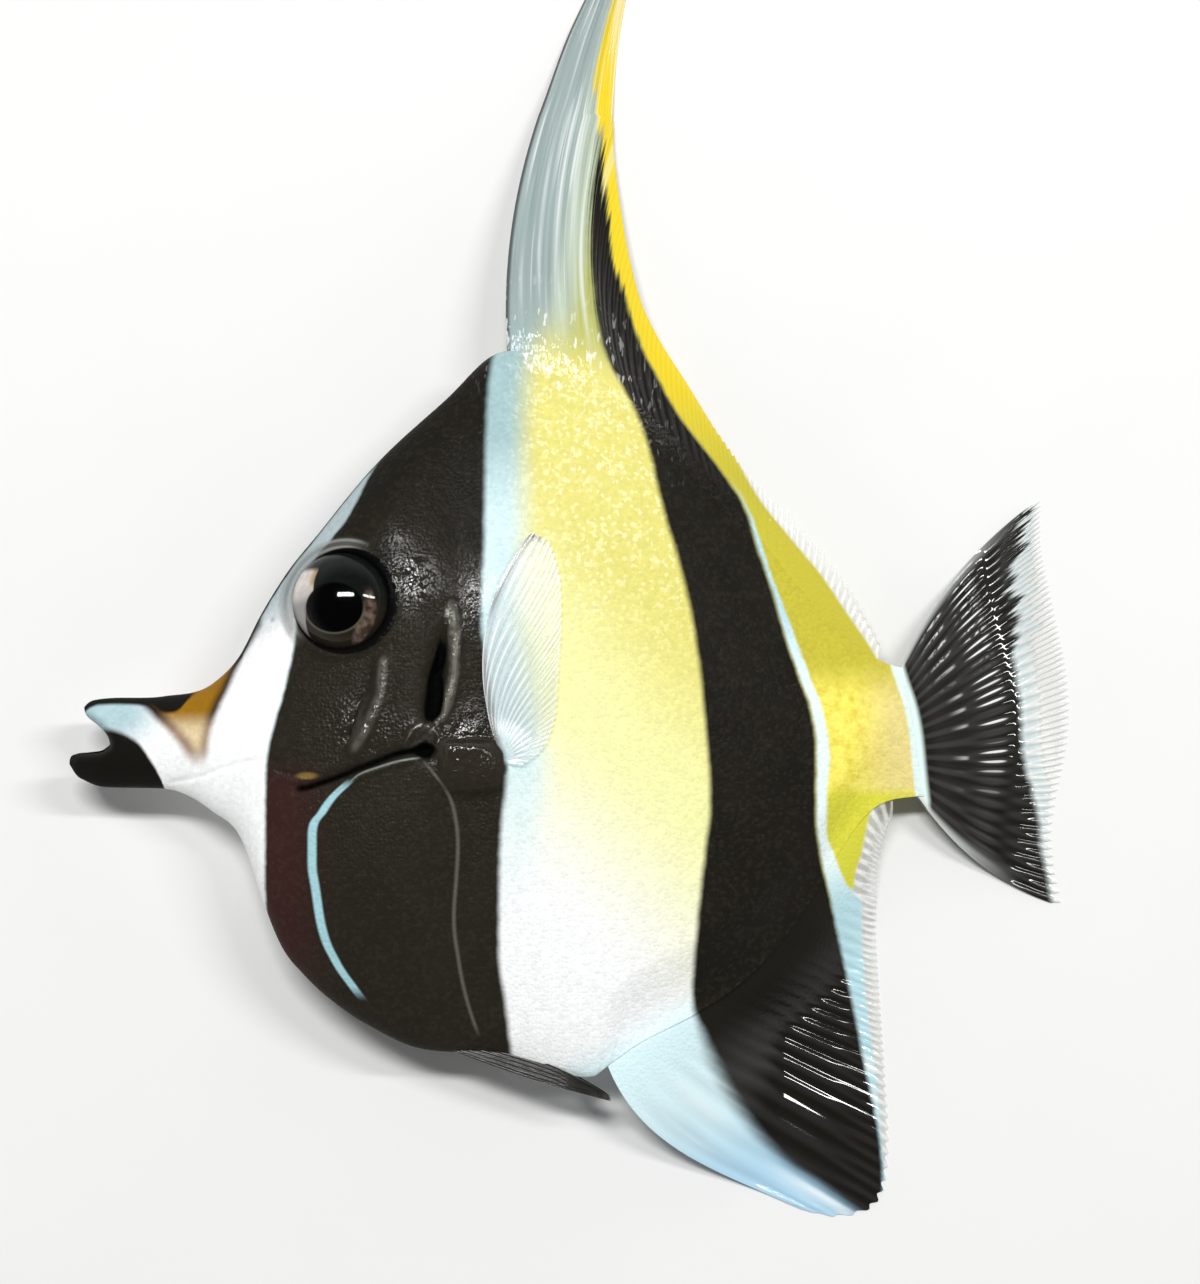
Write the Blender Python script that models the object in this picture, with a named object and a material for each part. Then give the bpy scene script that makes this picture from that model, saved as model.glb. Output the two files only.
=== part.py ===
# A young Moorish idol, life size, lying on its right flank.
#
# Sizes are in millimetres on the fish's own plan: x runs back from the tip of the lower jaw, y up from it
# towards the back, and z up from the surface it lies on. The left flank faces up. on_plan turns such a point
# into metres from the bottom centre of the whole fish.
import functools
import math

import bmesh
import bpy
import numpy as np
from mathutils import Vector

MM = 0.001
GAP = 0.3

# Whole fish
LENGTH = 86.7
LOWEST = -38.6
HIGHEST = 116.9

# Body: outlines seen from the flank, half width, and how full each cross section is
BACK_LINE = (
    (0.0, 1.9), (1.0, 4.7), (2.4, 5.7), (8.0, 6.0), (12.4, 7.3), (14.5, 9.6), (16.2, 13.0), (18.3, 16.5),
    (21.2, 20.2), (25.5, 25.6), (31.9, 31.8), (36.1, 35.7), (37.2, 36.0), (41.7, 35.0), (46.9, 32.4),
    (52.1, 28.1), (57.3, 22.2), (62.6, 15.8), (67.0, 11.2), (70.8, 9.2),
)
BELLY_LINE = (
    (0.0, 0.1), (0.6, -0.8), (1.4, -1.3), (3.0, -1.8), (8.0, -1.9), (12.1, -3.7), (15.0, -6.6),
    (16.7, -11.4), (18.2, -15.0), (20.5, -17.9), (23.3, -20.3), (26.7, -22.4), (29.6, -23.7),
    (36.9, -24.4), (42.3, -25.9), (44.6, -26.2), (46.4, -25.0), (48.3, -23.6), (53.4, -20.9),
    (57.0, -18.6), (60.4, -15.4), (63.5, -11.2), (66.0, -7.0), (68.4, -3.7), (72.7, -2.1),
)
HALF_WIDTH = (
    (0.0, 0.6), (0.7, 1.35), (2.0, 2.0), (4.0, 2.4), (8.0, 2.8), (12.0, 3.6), (16.0, 4.7), (20.0, 5.6),
    (25.0, 6.5), (28.5, 6.9), (31.0, 6.6), (33.0, 5.85), (36.0, 5.7), (42.0, 5.65), (48.0, 5.3),
    (55.0, 4.6), (62.0, 3.5), (67.0, 2.7), (73.0, 2.2),
)
FULLNESS = ((0.0, 0.5), (10.0, 0.46), (20.0, 0.38), (27.0, 0.42), (36.0, 0.58), (56.0, 0.6), (68.0, 0.5))
MIDDLE_HEIGHT = 6.65
TAIL_HEIGHT = 3.6
TAIL_SINKS = (48.0, 72.0)
THIN_EDGE = 0.3
FIN_EDGE = 0.68
BACK_EDGE_FROM = (33.0, 36.5)
BELLY_EDGE_FROM = (43.0, 46.0)

# Cuts across the body, each from the back line to the belly line
JAW_CUT = (8.0, 8.0)
JAW_STOPS = 7.8
GILL_CUT = (33.4, 28.7)
TAIL_CUT = (65.0, 65.2)
CAUDAL_CUT = (70.5, 72.4)

# Mouth: the lower edge of the upper jaw and the upper edge of the lower jaw
UPPER_LIP = ((1.2, 4.0), (2.4, 3.3), (3.4, 2.2), (5.5, 1.8), (7.0, 0.3), (7.8, -1.0))
LOWER_LIP = ((0.0, 0.7), (0.5, 0.95), (1.8, 1.1), (3.2, 1.3), (5.3, 1.2), (6.5, 0.1), (7.4, -1.1))
LIP_BULGE = 0.3
LIP_BULGE_DEEP = 0.35
LIP_BULGE_FADES = (0.5, 0.9)

# Eye, orbit and nostril
EYE_PLACE = (23.1, 14.2)
EYE_RADIUS = 4.5
EYE_DEPTH = 2.4
EYE_STANDS_OUT = 1.1
ORBIT_RADIUS = 4.5
ORBIT_THICK = 0.5
ORBIT_SINKS = 0.1
ORBIT_SPOTS = 28
NOSTRIL_PLACE = (17.4, 12.4)
NOSTRIL_RADIUS = 0.5

# Gill cover, and the grooves of the cheek
COVER_FRONT = ((25.0, 0.9), (25.4, 3.2), (26.4, 6.6), (27.9, 10.8))
COVER_REAR = ((29.8, 1.0), (30.9, 3.6), (31.2, 7.2), (31.0, 11.0))
COVER_THICK = 0.9
COVER_PROUD = 0.3
COVER_NARROWS = 0.5
COVER_RISES = 0.6
POCKET_PROUD = 2.0
POCKET_LONGER = 0.1
CHEEK_GROOVE = ((20.6, -1.9), (24.0, -0.7), (28.0, 0.2), (30.4, 0.3))
MOUTH_CREASE = ((8.9, -1.4), (11.5, -0.9), (13.9, -0.1), (16.6, 0.4))
GROOVE_RADIUS = 0.35
GROOVE_SPOTS = 10

# Fins: half thickness of the membrane, of a ray's ridge, of the root and of the edge, and the shares of a
# ray's length at which the root ends, the ridges fade and the edge thins
MEMBRANE = 0.25
RIDGE = 0.4
ROOT = 0.55
TIP = 0.22
ROOT_ENDS = 0.2
RIDGES_FADE = 0.7
EDGE_THINS = 0.88

# Each margin point is (share along the root, x, y)
DORSAL_ROOT = (37.2, 69.8)
DORSAL_MARGIN = (
    (0.0, 39.6, 58.0), (0.04, 42.7, 58.0), (0.085, 46.1, 58.0), (0.11, 46.3, 54.4), (0.15, 46.9, 49.5),
    (0.20, 47.7, 44.9), (0.25, 48.8, 40.8), (0.30, 50.4, 37.5), (0.36, 52.4, 34.3), (0.45, 55.3, 29.7),
    (0.54, 58.1, 26.0), (0.70, 62.5, 21.6), (0.85, 66.9, 16.2), (1.0, 69.8, 10.9),
)
DORSAL_RAYS = 24
DORSAL_BEND = 0.05
DORSAL_REACH = 34.0
STREAMER_PATH = (
    (42.95, 58.3), (44.4, 65.0), (45.6, 69.0), (49.6, 79.5), (55.6, 91.0), (64.0, 104.0), (74.0, 116.5),
)
STREAMER_WIDTH = ((0.0, 6.4), (0.11, 4.5), (0.17, 3.4), (0.35, 2.4), (0.6, 1.7), (1.0, 0.9))
STREAMER_SPLIT = 0.45
STREAMER_APART = 0.004
STREAMER_TURNS = 0.1
STREAMER_STEM = 0.05
STREAMER_RIB = 0.3
STREAMER_THINS = 0.35

ANAL_ROOT = (46.6, 71.0)
ANAL_MARGIN = (
    (0.0, 63.4, -38.1), (0.07, 66.3, -38.5), (0.15, 69.0, -37.8), (0.23, 70.5, -35.4), (0.34, 70.7, -31.2),
    (0.46, 70.4, -26.6), (0.58, 70.0, -21.2), (0.70, 69.6, -16.2), (0.82, 69.4, -11.0), (0.92, 69.8, -6.6),
    (1.0, 70.8, -4.0),
)
ANAL_RAYS = 20
ANAL_BEND = 3.3
ANAL_REACH = 20.0

CAUDAL_STEM_FROM = 60.0
CAUDAL_MARGIN = (
    (0.0, 84.2, 24.4), (0.12, 84.2, 21.0), (0.25, 84.8, 17.4), (0.40, 85.8, 12.6), (0.50, 86.4, 9.6),
    (0.60, 86.7, 5.8), (0.70, 86.4, 2.0), (0.80, 85.6, -1.8), (0.88, 85.1, -5.6), (0.94, 85.4, -8.4),
    (1.0, 86.0, -11.6),
)
CAUDAL_RAYS = 16
CAUDAL_BEND = 1.4
CAUDAL_REACH = 13.5

PECTORAL_ROOT = ((32.3, 1.9), (31.9, 0.0), (32.3, -1.8))
PECTORAL_MARGIN = (
    (0.0, 38.2, 18.9), (0.10, 39.8, 19.9), (0.20, 40.9, 19.1), (0.35, 41.5, 16.2), (0.50, 41.85, 12.4),
    (0.65, 41.9, 7.8), (0.78, 41.3, 4.0), (0.90, 39.9, 1.1), (1.0, 38.2, -0.6),
)
PECTORAL_RAYS = 12
PECTORAL_LOBE = 1.3
PECTORAL_LIFT = 0.4

PELVIC_ROOT = (29.9, 32.4)
PELVIC_MARGIN = ((0.0, 46.5, -28.15), (0.5, 46.4, -27.85), (1.0, 45.9, -27.5))
PELVIC_RAYS = 5
PELVIC_BEND = 1.3
PELVIC_APART = (0.48, 1.15)
PELVIC_HALF = 0.33
PELVIC_STRAIGHT = 0.3

COLOURS = {
    "bone_yellow": (0.80, 0.66, 0.20),
    "band_black": (0.045, 0.035, 0.03),
    "fin_pale": (0.62, 0.66, 0.66),
    "fin_clear": (0.70, 0.66, 0.56),
    "eye_dark": (0.03, 0.025, 0.02),
}


def smooth(t):
    t = min(max(t, 0.0), 1.0)
    return t * t * (3.0 - 2.0 * t)


@functools.cache
def bends(stations):
    """The stations' places, values and slopes, with no slope that would overshoot between two stations."""
    xs = np.array([s[0] for s in stations])
    ys = np.array([s[1:] for s in stations], float)
    slopes = np.gradient(ys, xs, axis=0)
    runs = np.diff(ys, axis=0) / np.diff(xs)[:, None]
    before, after = runs[:-1], runs[1:]
    limit = 3 * np.minimum(abs(before), abs(after)) * (before * after > 0)
    slopes[1:-1] = np.clip(slopes[1:-1], -limit, limit)
    return xs, ys, slopes


def along(stations, where):
    """Smooth value at `where` of a curve through stations whose first number rises."""
    xs, ys, slopes = bends(stations)
    where = min(max(where, xs[0]), xs[-1])
    i = min(max(int(np.searchsorted(xs, where)) - 1, 0), len(xs) - 2)
    step = xs[i + 1] - xs[i]
    t = (where - xs[i]) / step
    value = (
        (1 + 2 * t) * (1 - t) ** 2 * ys[i] + t * (1 - t) ** 2 * step * slopes[i]
        + t * t * (3 - 2 * t) * ys[i + 1] - t * t * (1 - t) * step * slopes[i + 1]
    )
    return value if len(value) > 1 else float(value[0])


@functools.cache
def measured(points):
    """Points of a route, each with its share of the way."""
    far = np.concatenate([[0.0], np.cumsum(np.hypot(*np.diff(np.array(points), axis=0).T))])
    return tuple((f, *p) for f, p in zip(far / far[-1], points))


def route(points, share):
    """Point at a share of the way along a smooth curve through points."""
    return along(measured(points), share)


@functools.cache
def lengths(line, ends):
    """Places along an outline between two x values, and how far along it each lies."""
    xs = np.linspace(ends[0], ends[1], 80)
    ys = np.array([along(line, x) for x in xs])
    return xs, np.concatenate([[0.0], np.cumsum(np.hypot(np.diff(xs), np.diff(ys)))])


def outline(line, ends, share, out=0.0):
    """Point at a share of the length of an outline between two x values, moved outwards by `out`."""
    xs, far = lengths(line, ends)
    x = float(np.interp(share * far[-1], far, xs))
    slope = (along(line, x + 0.1) - along(line, x - 0.1)) / 0.2
    outward = 1.0 if line is BACK_LINE else -1.0
    normal = np.array([-slope, 1.0]) / math.hypot(slope, 1.0) * outward
    return np.array([x, along(line, x)]) + out * normal


def middle(x):
    """Height of the fish's middle plane over the surface that it lies on."""
    first, last = TAIL_SINKS
    return MIDDLE_HEIGHT - (MIDDLE_HEIGHT - TAIL_HEIGHT) * smooth((x - first) / (last - first))


def thickness(x, y):
    """Half thickness of the body at a point of the flank."""
    high, low = along(BACK_LINE, x), along(BELLY_LINE, x)
    u = min(abs(2 * y - high - low) / (high - low), 1.0)
    first, last = BACK_EDGE_FROM if 2 * y > high + low else BELLY_EDGE_FROM
    edge = THIN_EDGE + (FIN_EDGE - THIN_EDGE) * smooth((x - first) / (last - first))
    return edge + (along(HALF_WIDTH, x) - edge) * (1 - u * u) ** along(FULLNESS, x)


def flank(x, y, side, out=0.0):
    """Height of the flank, side 1 for the left and -1 for the right one, which is flat where it rests."""
    return max(middle(x) + side * (thickness(x, y) + out), 0.0)


def on_plan(x, y, z):
    return Vector((x - LENGTH / 2, y - (LOWEST + HIGHEST) / 2, z)) * MM


def material(colour, roughness):
    if colour not in bpy.data.materials:
        made = bpy.data.materials.new(colour)
        made.use_nodes = True
        shader = made.node_tree.nodes["Principled BSDF"]
        shader.inputs["Base Color"].default_value = (*COLOURS[colour], 1.0)
        shader.inputs["Roughness"].default_value = roughness
    return bpy.data.materials[colour]


def finish(bm, name, colour="bone_yellow", roughness=0.35):
    """Turns a bmesh into an object, smooth but for its sharp edges."""
    bmesh.ops.recalc_face_normals(bm, faces=bm.faces)
    bmesh.ops.triangulate(bm, faces=bm.faces[:])
    mesh = bpy.data.meshes.new(name)
    bm.to_mesh(mesh)
    bm.free()
    mesh.materials.append(material(colour, roughness))
    mesh.shade_smooth()
    mesh.set_sharp_from_angle(angle=math.radians(50))
    obj = bpy.data.objects.new(name, mesh)
    bpy.context.scene.collection.objects.link(obj)
    return obj


def sheets(name, columns, rows, place, colour, roughness=0.35):
    """A closed shell of two like sheets: place(r, v, side) gives the point of each at (r, v)."""
    bm = bmesh.new()
    bmesh.ops.create_grid(bm, x_segments=columns, y_segments=rows, size=0.5)
    bmesh.ops.triangulate(bm, faces=bm.faces[:], quad_method="FIXED")
    upper = list(bm.verts)
    made = bmesh.ops.extrude_face_region(bm, geom=bm.faces[:])
    lower = [v for v in made["geom"] if isinstance(v, bmesh.types.BMVert)]
    for side, verts in ((1, upper), (-1, lower)):
        for v in verts:
            v.co = on_plan(*place(v.co.x + 0.5, v.co.y + 0.5, side))
    return finish(bm, name, colour, roughness)


def body_length(name, front, rear, columns, rows, colour):
    """A length of the body between two cuts."""
    def place(r, v, side):
        top = outline(BACK_LINE, (front[0], rear[0]), r)
        low = outline(BELLY_LINE, (front[1], rear[1]), r)
        x, y = low + (top - low) * (1 - math.cos(math.pi * v)) / 2
        return x, y, flank(x, y, side)
    return sheets(name, columns, rows, place, colour)


def past(cut):
    """The cut moved back by the gap."""
    return (cut[0] + GAP, cut[1] + GAP)


def jaw(name, edge, line, columns, rows):
    """One jaw, from its lip edge to the outline of the snout."""
    tip = edge[0][0]

    def place(r, v, side):
        lip = route(edge, r)
        rim = outline(line, (tip, JAW_STOPS), r)
        x, y = lip + (rim - lip) * v
        fades, gone = LIP_BULGE_FADES
        bulge = LIP_BULGE * (1 - smooth(v / LIP_BULGE_DEEP)) * (1 - smooth((r - fades) / (gone - fades)))
        return x, y, flank(x, y, side, bulge)
    return sheets(name, columns, rows, place, "band_black")


def membrane(r, v, rays, root):
    """Half thickness of a fin at (r, v), with a ridge on each ray."""
    ridge = abs(math.cos(math.pi * r * (rays - 1)))
    half = MEMBRANE + (RIDGE - MEMBRANE) * ridge * (1 - smooth((v - RIDGES_FADE) / (1 - RIDGES_FADE)))
    half += (root - half) * (1 - smooth(v / ROOT_ENDS))
    return half + (TIP - half) * smooth((v - EDGE_THINS) / (1 - EDGE_THINS))


def fin(name, rays, rows, root, margin, bend, height, base=ROOT, colour="fin_pale"):
    """A ray fin. root(r) and the margin give the ends of ray r, bend(r, v, length) how far it bows to the
    front, and height(r, v, spot, far, half, side) its height."""
    def place(r, v, side):
        start, end = root(r), np.array(along(margin, r))
        ray = end - start
        length = math.hypot(*ray)
        front = np.array([-ray[1], ray[0]]) / length
        spot = start + ray * v + front * bend(r, v, length)
        half = membrane(r, v, rays, base)
        return spot[0], spot[1], height(r, v, spot, v * length, half, side)
    return sheets(name, 2 * (rays - 1), rows, place, colour, 0.3)


def laid(root_height, far, reach, half, side):
    """Height in a fin that sinks from its root and lies flat once it is `reach` away."""
    centre = half + (root_height - half) * (1 - smooth(far / reach))
    return centre + side * half


def ball(name, centre, radii, normal, segments=20, rings=10):
    """An ellipsoid in metres whose last radius lies along normal."""
    bm = bmesh.new()
    bmesh.ops.create_uvsphere(bm, u_segments=segments, v_segments=rings, radius=1.0)
    turn = Vector((0, 0, 1)).rotation_difference(normal)
    for v in bm.verts:
        v.co = on_plan(*centre) + turn @ Vector([c * r * MM for c, r in zip(v.co, radii)])
    return finish(bm, name, "eye_dark", 0.05)


def tube(name, points, radius, closed=False, sides=6):
    """A tube of straight runs through 3-D points on the plan."""
    points = [Vector(p) for p in points]
    count = len(points)
    bm = bmesh.new()
    rings = []
    for i, point in enumerate(points):
        before = points[i - 1] if closed or i else point
        after = points[(i + 1) % count] if closed or i < count - 1 else point
        ahead = (after - before).normalized()
        across = ahead.cross(Vector((0, 0, 1))).normalized()
        up = across.cross(ahead)
        ring = []
        for k in range(sides):
            a = 2 * math.pi * k / sides
            spot = point + radius * (across * math.cos(a) + up * math.sin(a))
            ring.append(bm.verts.new(on_plan(*spot)))
        rings.append(ring)
    for i in range(count if closed else count - 1):
        one, two = rings[i], rings[(i + 1) % count]
        for k in range(sides):
            bm.faces.new((one[k], one[(k + 1) % sides], two[(k + 1) % sides], two[k]))
    if not closed:
        bm.faces.new(rings[0])
        bm.faces.new(rings[-1])
    return finish(bm, name)


def combine(obj, tools, operation):
    """Joins the tools to obj, or cuts them from it, in one Boolean, and keeps the largest closed surface."""
    group = bpy.data.collections.new(obj.name + "_tools")
    bpy.context.scene.collection.children.link(group)
    for tool in tools:
        bpy.context.scene.collection.objects.unlink(tool)
        group.objects.link(tool)
    step = obj.modifiers.new("tools", "BOOLEAN")
    step.operation = operation
    step.operand_type = "COLLECTION"
    step.collection = group
    step.solver = "EXACT"
    graph = bpy.context.evaluated_depsgraph_get()
    mesh = bpy.data.meshes.new_from_object(obj.evaluated_get(graph))
    obj.modifiers.remove(step)
    obj.data = mesh
    for tool in tools:
        bpy.data.objects.remove(tool)
    bpy.data.collections.remove(group)
    keep_largest(obj)


def keep_largest(obj):
    bm = bmesh.new()
    bm.from_mesh(obj.data)
    left, shells = set(bm.faces), []
    while left:
        queue = [left.pop()]
        shell = set(queue)
        while queue:
            for edge in queue.pop().edges:
                for face in edge.link_faces:
                    if face in left:
                        left.remove(face)
                        shell.add(face)
                        queue.append(face)
        shells.append(shell)
    best = max(shells, key=lambda shell: sum(face.calc_area() for face in shell))
    bmesh.ops.delete(bm, geom=[f for f in bm.faces if f not in best], context="FACES")
    bm.to_mesh(obj.data)
    bm.free()


def outward(x, y, side):
    """Direction straight out of the flank."""
    step = 0.5
    dx = (thickness(x + step, y) - thickness(x - step, y)) / (2 * step)
    dy = (thickness(x, y + step) - thickness(x, y - step)) / (2 * step)
    return Vector((-dx, -dy, side)).normalized()


def eye_ball(name, side, grow=0.0):
    x, y = EYE_PLACE
    normal = outward(x, y, side)
    centre = Vector((x, y, middle(x) + side * thickness(x, y))) - normal * (EYE_DEPTH - EYE_STANDS_OUT)
    return ball(name, centre, (EYE_RADIUS + grow, EYE_RADIUS + grow, EYE_DEPTH + grow), normal)


def orbit_ring(side):
    """The raised rim of the eye socket, half sunk in the flank."""
    spots = []
    for k in range(ORBIT_SPOTS):
        a = 2 * math.pi * k / ORBIT_SPOTS
        x = EYE_PLACE[0] + ORBIT_RADIUS * math.cos(a)
        y = EYE_PLACE[1] + ORBIT_RADIUS * math.sin(a)
        height = middle(x) + side * (thickness(x, y) - ORBIT_SINKS)
        spots.append((x, y, max(height, ORBIT_THICK + ORBIT_SINKS / 2)))
    return tube("orbit", spots, ORBIT_THICK, closed=True)


def flank_groove(points, side):
    """A tube that lies half in the flank, to cut a groove."""
    spots = [route(points, k / (GROOVE_SPOTS - 1)) for k in range(GROOVE_SPOTS)]
    return tube("groove", [(x, y, middle(x) + side * thickness(x, y)) for x, y in spots], GROOVE_RADIUS)


def cover_plate(name, side, grow=0.0):
    """The gill cover's plate, or with grow its pocket in the head."""
    def place(r, v, sheet):
        share = v + POCKET_LONGER * grow * (2 * v - 1)
        front, rear = route(COVER_FRONT, share), route(COVER_REAR, share)
        half = (rear - front) / 2 * (1 - COVER_NARROWS * abs(2 * v - 1) ** 5)
        x, y = (front + rear) / 2 + (half + np.array([grow, 0.0])) * (2 * r - 1)
        y += grow * (2 * v - 1)
        proud = POCKET_PROUD if grow else COVER_PROUD * smooth(r / COVER_RISES)
        out = proud if sheet == 1 else -COVER_THICK - grow
        z = middle(x) + side * (thickness(x, y) + out)
        return x, y, z if grow else max(z, 0.0)
    return sheets(name, 8, 10, place, "bone_yellow")


def build_head():
    head = body_length("head", past(JAW_CUT), GILL_CUT, 28, 20, "bone_yellow")
    combine(head, [orbit_ring(side) for side in (1, -1)], "UNION")
    cutters = []
    for side in (1, -1):
        x, y = NOSTRIL_PLACE
        spot = (x, y, middle(x) + side * thickness(x, y))
        cutters.append(eye_ball("socket", side, GAP))
        cutters.append(cover_plate("pocket", side, GAP))
        cutters.append(ball("nostril", spot, (NOSTRIL_RADIUS,) * 3, outward(x, y, side), 10, 6))
        cutters.append(flank_groove(CHEEK_GROOVE, side))
        cutters.append(flank_groove(MOUTH_CREASE, side))
    combine(head, cutters, "DIFFERENCE")
    for side, name in ((1, "left"), (-1, "right")):
        eye_ball("eye_" + name, side)
        cover_plate("gill_cover_" + name, side)
    jaw("upper_jaw", UPPER_LIP, BACK_LINE, 10, 8)
    jaw("lower_jaw", LOWER_LIP, BELLY_LINE, 10, 6)


def build_body():
    body_length("torso", past(GILL_CUT), TAIL_CUT, 26, 18, "bone_yellow")
    body_length("tail_stem", past(TAIL_CUT), CAUDAL_CUT, 6, 14, "band_black")


def build_dorsal():
    fin(
        "dorsal_fin", DORSAL_RAYS, 10,
        root=lambda r: outline(BACK_LINE, DORSAL_ROOT, r, GAP),
        margin=DORSAL_MARGIN,
        bend=lambda r, v, length: 4 * v * (1 - v) * DORSAL_BEND * length,
        height=lambda r, v, spot, far, half, side:
            laid(middle(outline(BACK_LINE, DORSAL_ROOT, r)[0]), far, DORSAL_REACH, half, side),
    )
    build_streamer("dorsal_streamer_base", 0.0, STREAMER_SPLIT, 14)
    build_streamer("dorsal_streamer_tip", STREAMER_SPLIT + STREAMER_APART, 1.0, 16)


def build_streamer(name, first, last, rows):
    """A length of the long filament that the third dorsal spine ends in."""
    stem = outline(BACK_LINE, DORSAL_ROOT, STREAMER_STEM)

    def place(r, v, side):
        share = first + (last - first) * v
        centre = route(STREAMER_PATH, share)
        ahead = route(STREAMER_PATH, min(share + 0.01, 1.0)) - route(STREAMER_PATH, max(share - 0.01, 0.0))
        across = np.array([ahead[1], -ahead[0]]) / math.hypot(*ahead)
        blend = smooth(share / STREAMER_TURNS)
        across = across * blend + np.array([1.0, 0.0]) * (1 - blend)
        x, y = centre + across * (r - 0.5) * along(STREAMER_WIDTH, share)
        far = math.hypot(x - stem[0], y - stem[1])
        half = RIDGE if abs(r - 0.5) < STREAMER_RIB else MEMBRANE
        half *= 1 - STREAMER_THINS * smooth((share - RIDGES_FADE) / (1 - RIDGES_FADE))
        return x, y, laid(MIDDLE_HEIGHT, far, DORSAL_REACH, half, side)
    return sheets(name, 4, rows, place, "fin_pale", 0.3)


def build_anal():
    # v (1 - v)^2 is greatest at a third of the way, where it is 1 / 6.75
    fin(
        "anal_fin", ANAL_RAYS, 10,
        root=lambda r: outline(BELLY_LINE, ANAL_ROOT, r, GAP),
        margin=ANAL_MARGIN,
        bend=lambda r, v, length: -6.75 * v * (1 - v) ** 2 * ANAL_BEND * (1 - r) ** 3,
        height=lambda r, v, spot, far, half, side:
            laid(middle(outline(BELLY_LINE, ANAL_ROOT, r)[0]), far, ANAL_REACH, half, side),
        colour="band_black",
    )


def build_caudal():
    high = outline(BACK_LINE, (CAUDAL_STEM_FROM, CAUDAL_CUT[0]), 1.0)
    low = outline(BELLY_LINE, (CAUDAL_STEM_FROM, CAUDAL_CUT[1]), 1.0)
    fin(
        "caudal_fin", CAUDAL_RAYS, 8,
        root=lambda r: high + (low - high) * r + np.array([GAP, 0.0]),
        margin=CAUDAL_MARGIN,
        bend=lambda r, v, length: 4 * v * (1 - v) * CAUDAL_BEND * (1 - 2 * r),
        height=lambda r, v, spot, far, half, side:
            laid(middle(CAUDAL_CUT[0] + (CAUDAL_CUT[1] - CAUDAL_CUT[0]) * r), far, CAUDAL_REACH, half, side),
        colour="band_black",
    )


def build_pectorals():
    """The left fin lies over the flank, and the right one is pressed between the flank and the floor."""
    def height(r, v, spot, far, half, side, flank_side):
        x, y = spot
        if flank_side < 0:
            return MEMBRANE + side * MEMBRANE
        under = flank(x, y, 1, GAP + PECTORAL_LIFT * v)
        return under if side < 0 else under + 2 * half

    for flank_side, name in ((1, "pectoral_fin_left"), (-1, "pectoral_fin_right")):
        fin(
            name, PECTORAL_RAYS, 8,
            root=lambda r: route(PECTORAL_ROOT, r),
            margin=PECTORAL_MARGIN,
            bend=lambda r, v, length: 0.0,
            height=lambda *a, s=flank_side: height(*a, s),
            base=PECTORAL_LOBE / 2,
            colour="fin_clear",
        )


def build_pelvics():
    for flank_side, name in ((1, "pelvic_fin_left"), (-1, "pelvic_fin_right")):
        near, far_apart = PELVIC_APART
        fin(
            name, PELVIC_RAYS, 10,
            root=lambda r: outline(BELLY_LINE, PELVIC_ROOT, r, GAP),
            margin=PELVIC_MARGIN,
            bend=lambda r, v, length: 4 * v * (1 - v) * PELVIC_BEND * (r - PELVIC_STRAIGHT),
            height=lambda r, v, spot, far, half, side, s=flank_side:
                MIDDLE_HEIGHT + s * (near + (far_apart - near) * v) + side * min(half, PELVIC_HALF),
            base=PELVIC_HALF,
            colour="band_black",
        )


for old in list(bpy.data.objects):
    bpy.data.objects.remove(old)
build_head()
build_body()
build_dorsal()
build_anal()
build_caudal()
build_pectorals()
build_pelvics()
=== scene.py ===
import math

import bpy
import numpy as np
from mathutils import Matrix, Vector


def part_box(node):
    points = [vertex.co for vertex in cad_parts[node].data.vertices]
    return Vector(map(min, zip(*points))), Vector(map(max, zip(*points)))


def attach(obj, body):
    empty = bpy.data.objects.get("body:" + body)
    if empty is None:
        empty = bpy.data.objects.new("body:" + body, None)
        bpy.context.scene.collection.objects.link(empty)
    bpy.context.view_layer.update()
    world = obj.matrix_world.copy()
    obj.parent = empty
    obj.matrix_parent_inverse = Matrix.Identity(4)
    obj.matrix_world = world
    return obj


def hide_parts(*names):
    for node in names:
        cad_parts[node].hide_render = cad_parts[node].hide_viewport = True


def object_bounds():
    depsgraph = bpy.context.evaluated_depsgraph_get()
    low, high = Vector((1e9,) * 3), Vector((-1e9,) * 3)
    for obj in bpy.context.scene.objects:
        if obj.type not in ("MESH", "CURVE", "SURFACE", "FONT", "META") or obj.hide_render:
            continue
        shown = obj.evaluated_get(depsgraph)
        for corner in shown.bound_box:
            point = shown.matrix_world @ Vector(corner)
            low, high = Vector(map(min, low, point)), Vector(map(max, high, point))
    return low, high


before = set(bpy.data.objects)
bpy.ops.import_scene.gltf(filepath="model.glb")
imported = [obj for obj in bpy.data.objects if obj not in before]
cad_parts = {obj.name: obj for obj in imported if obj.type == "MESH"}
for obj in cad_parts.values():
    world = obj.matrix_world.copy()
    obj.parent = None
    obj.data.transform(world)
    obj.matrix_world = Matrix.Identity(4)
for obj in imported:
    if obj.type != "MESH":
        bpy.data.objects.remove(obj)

cadLow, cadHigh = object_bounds()
print("frame loaded:", len(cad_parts), "CAD nodes")

# A young Moorish idol lying on its right flank. Plan places are millimetres: x back from the lower jaw's tip,
# y up to the back, z up from the floor.
millimetre = 0.001
plan = {"lowest": -38.6, "perMetre": 1000.0}
planShift = (-cadLow.x * plan["perMetre"], plan["lowest"] - cadLow.y * plan["perMetre"], 0.0)


def toRow(x, y, z):
    return np.stack([x - planShift[0], y - planShift[1], z + 0 * x], axis=-1) * millimetre


def nodePlace(name):
    # middle of a CAD node's box, as a plan place
    low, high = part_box(name)
    return [(a + b) / 2 * plan["perMetre"] + s for a, b, s in zip(low, high, planShift)]


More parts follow.
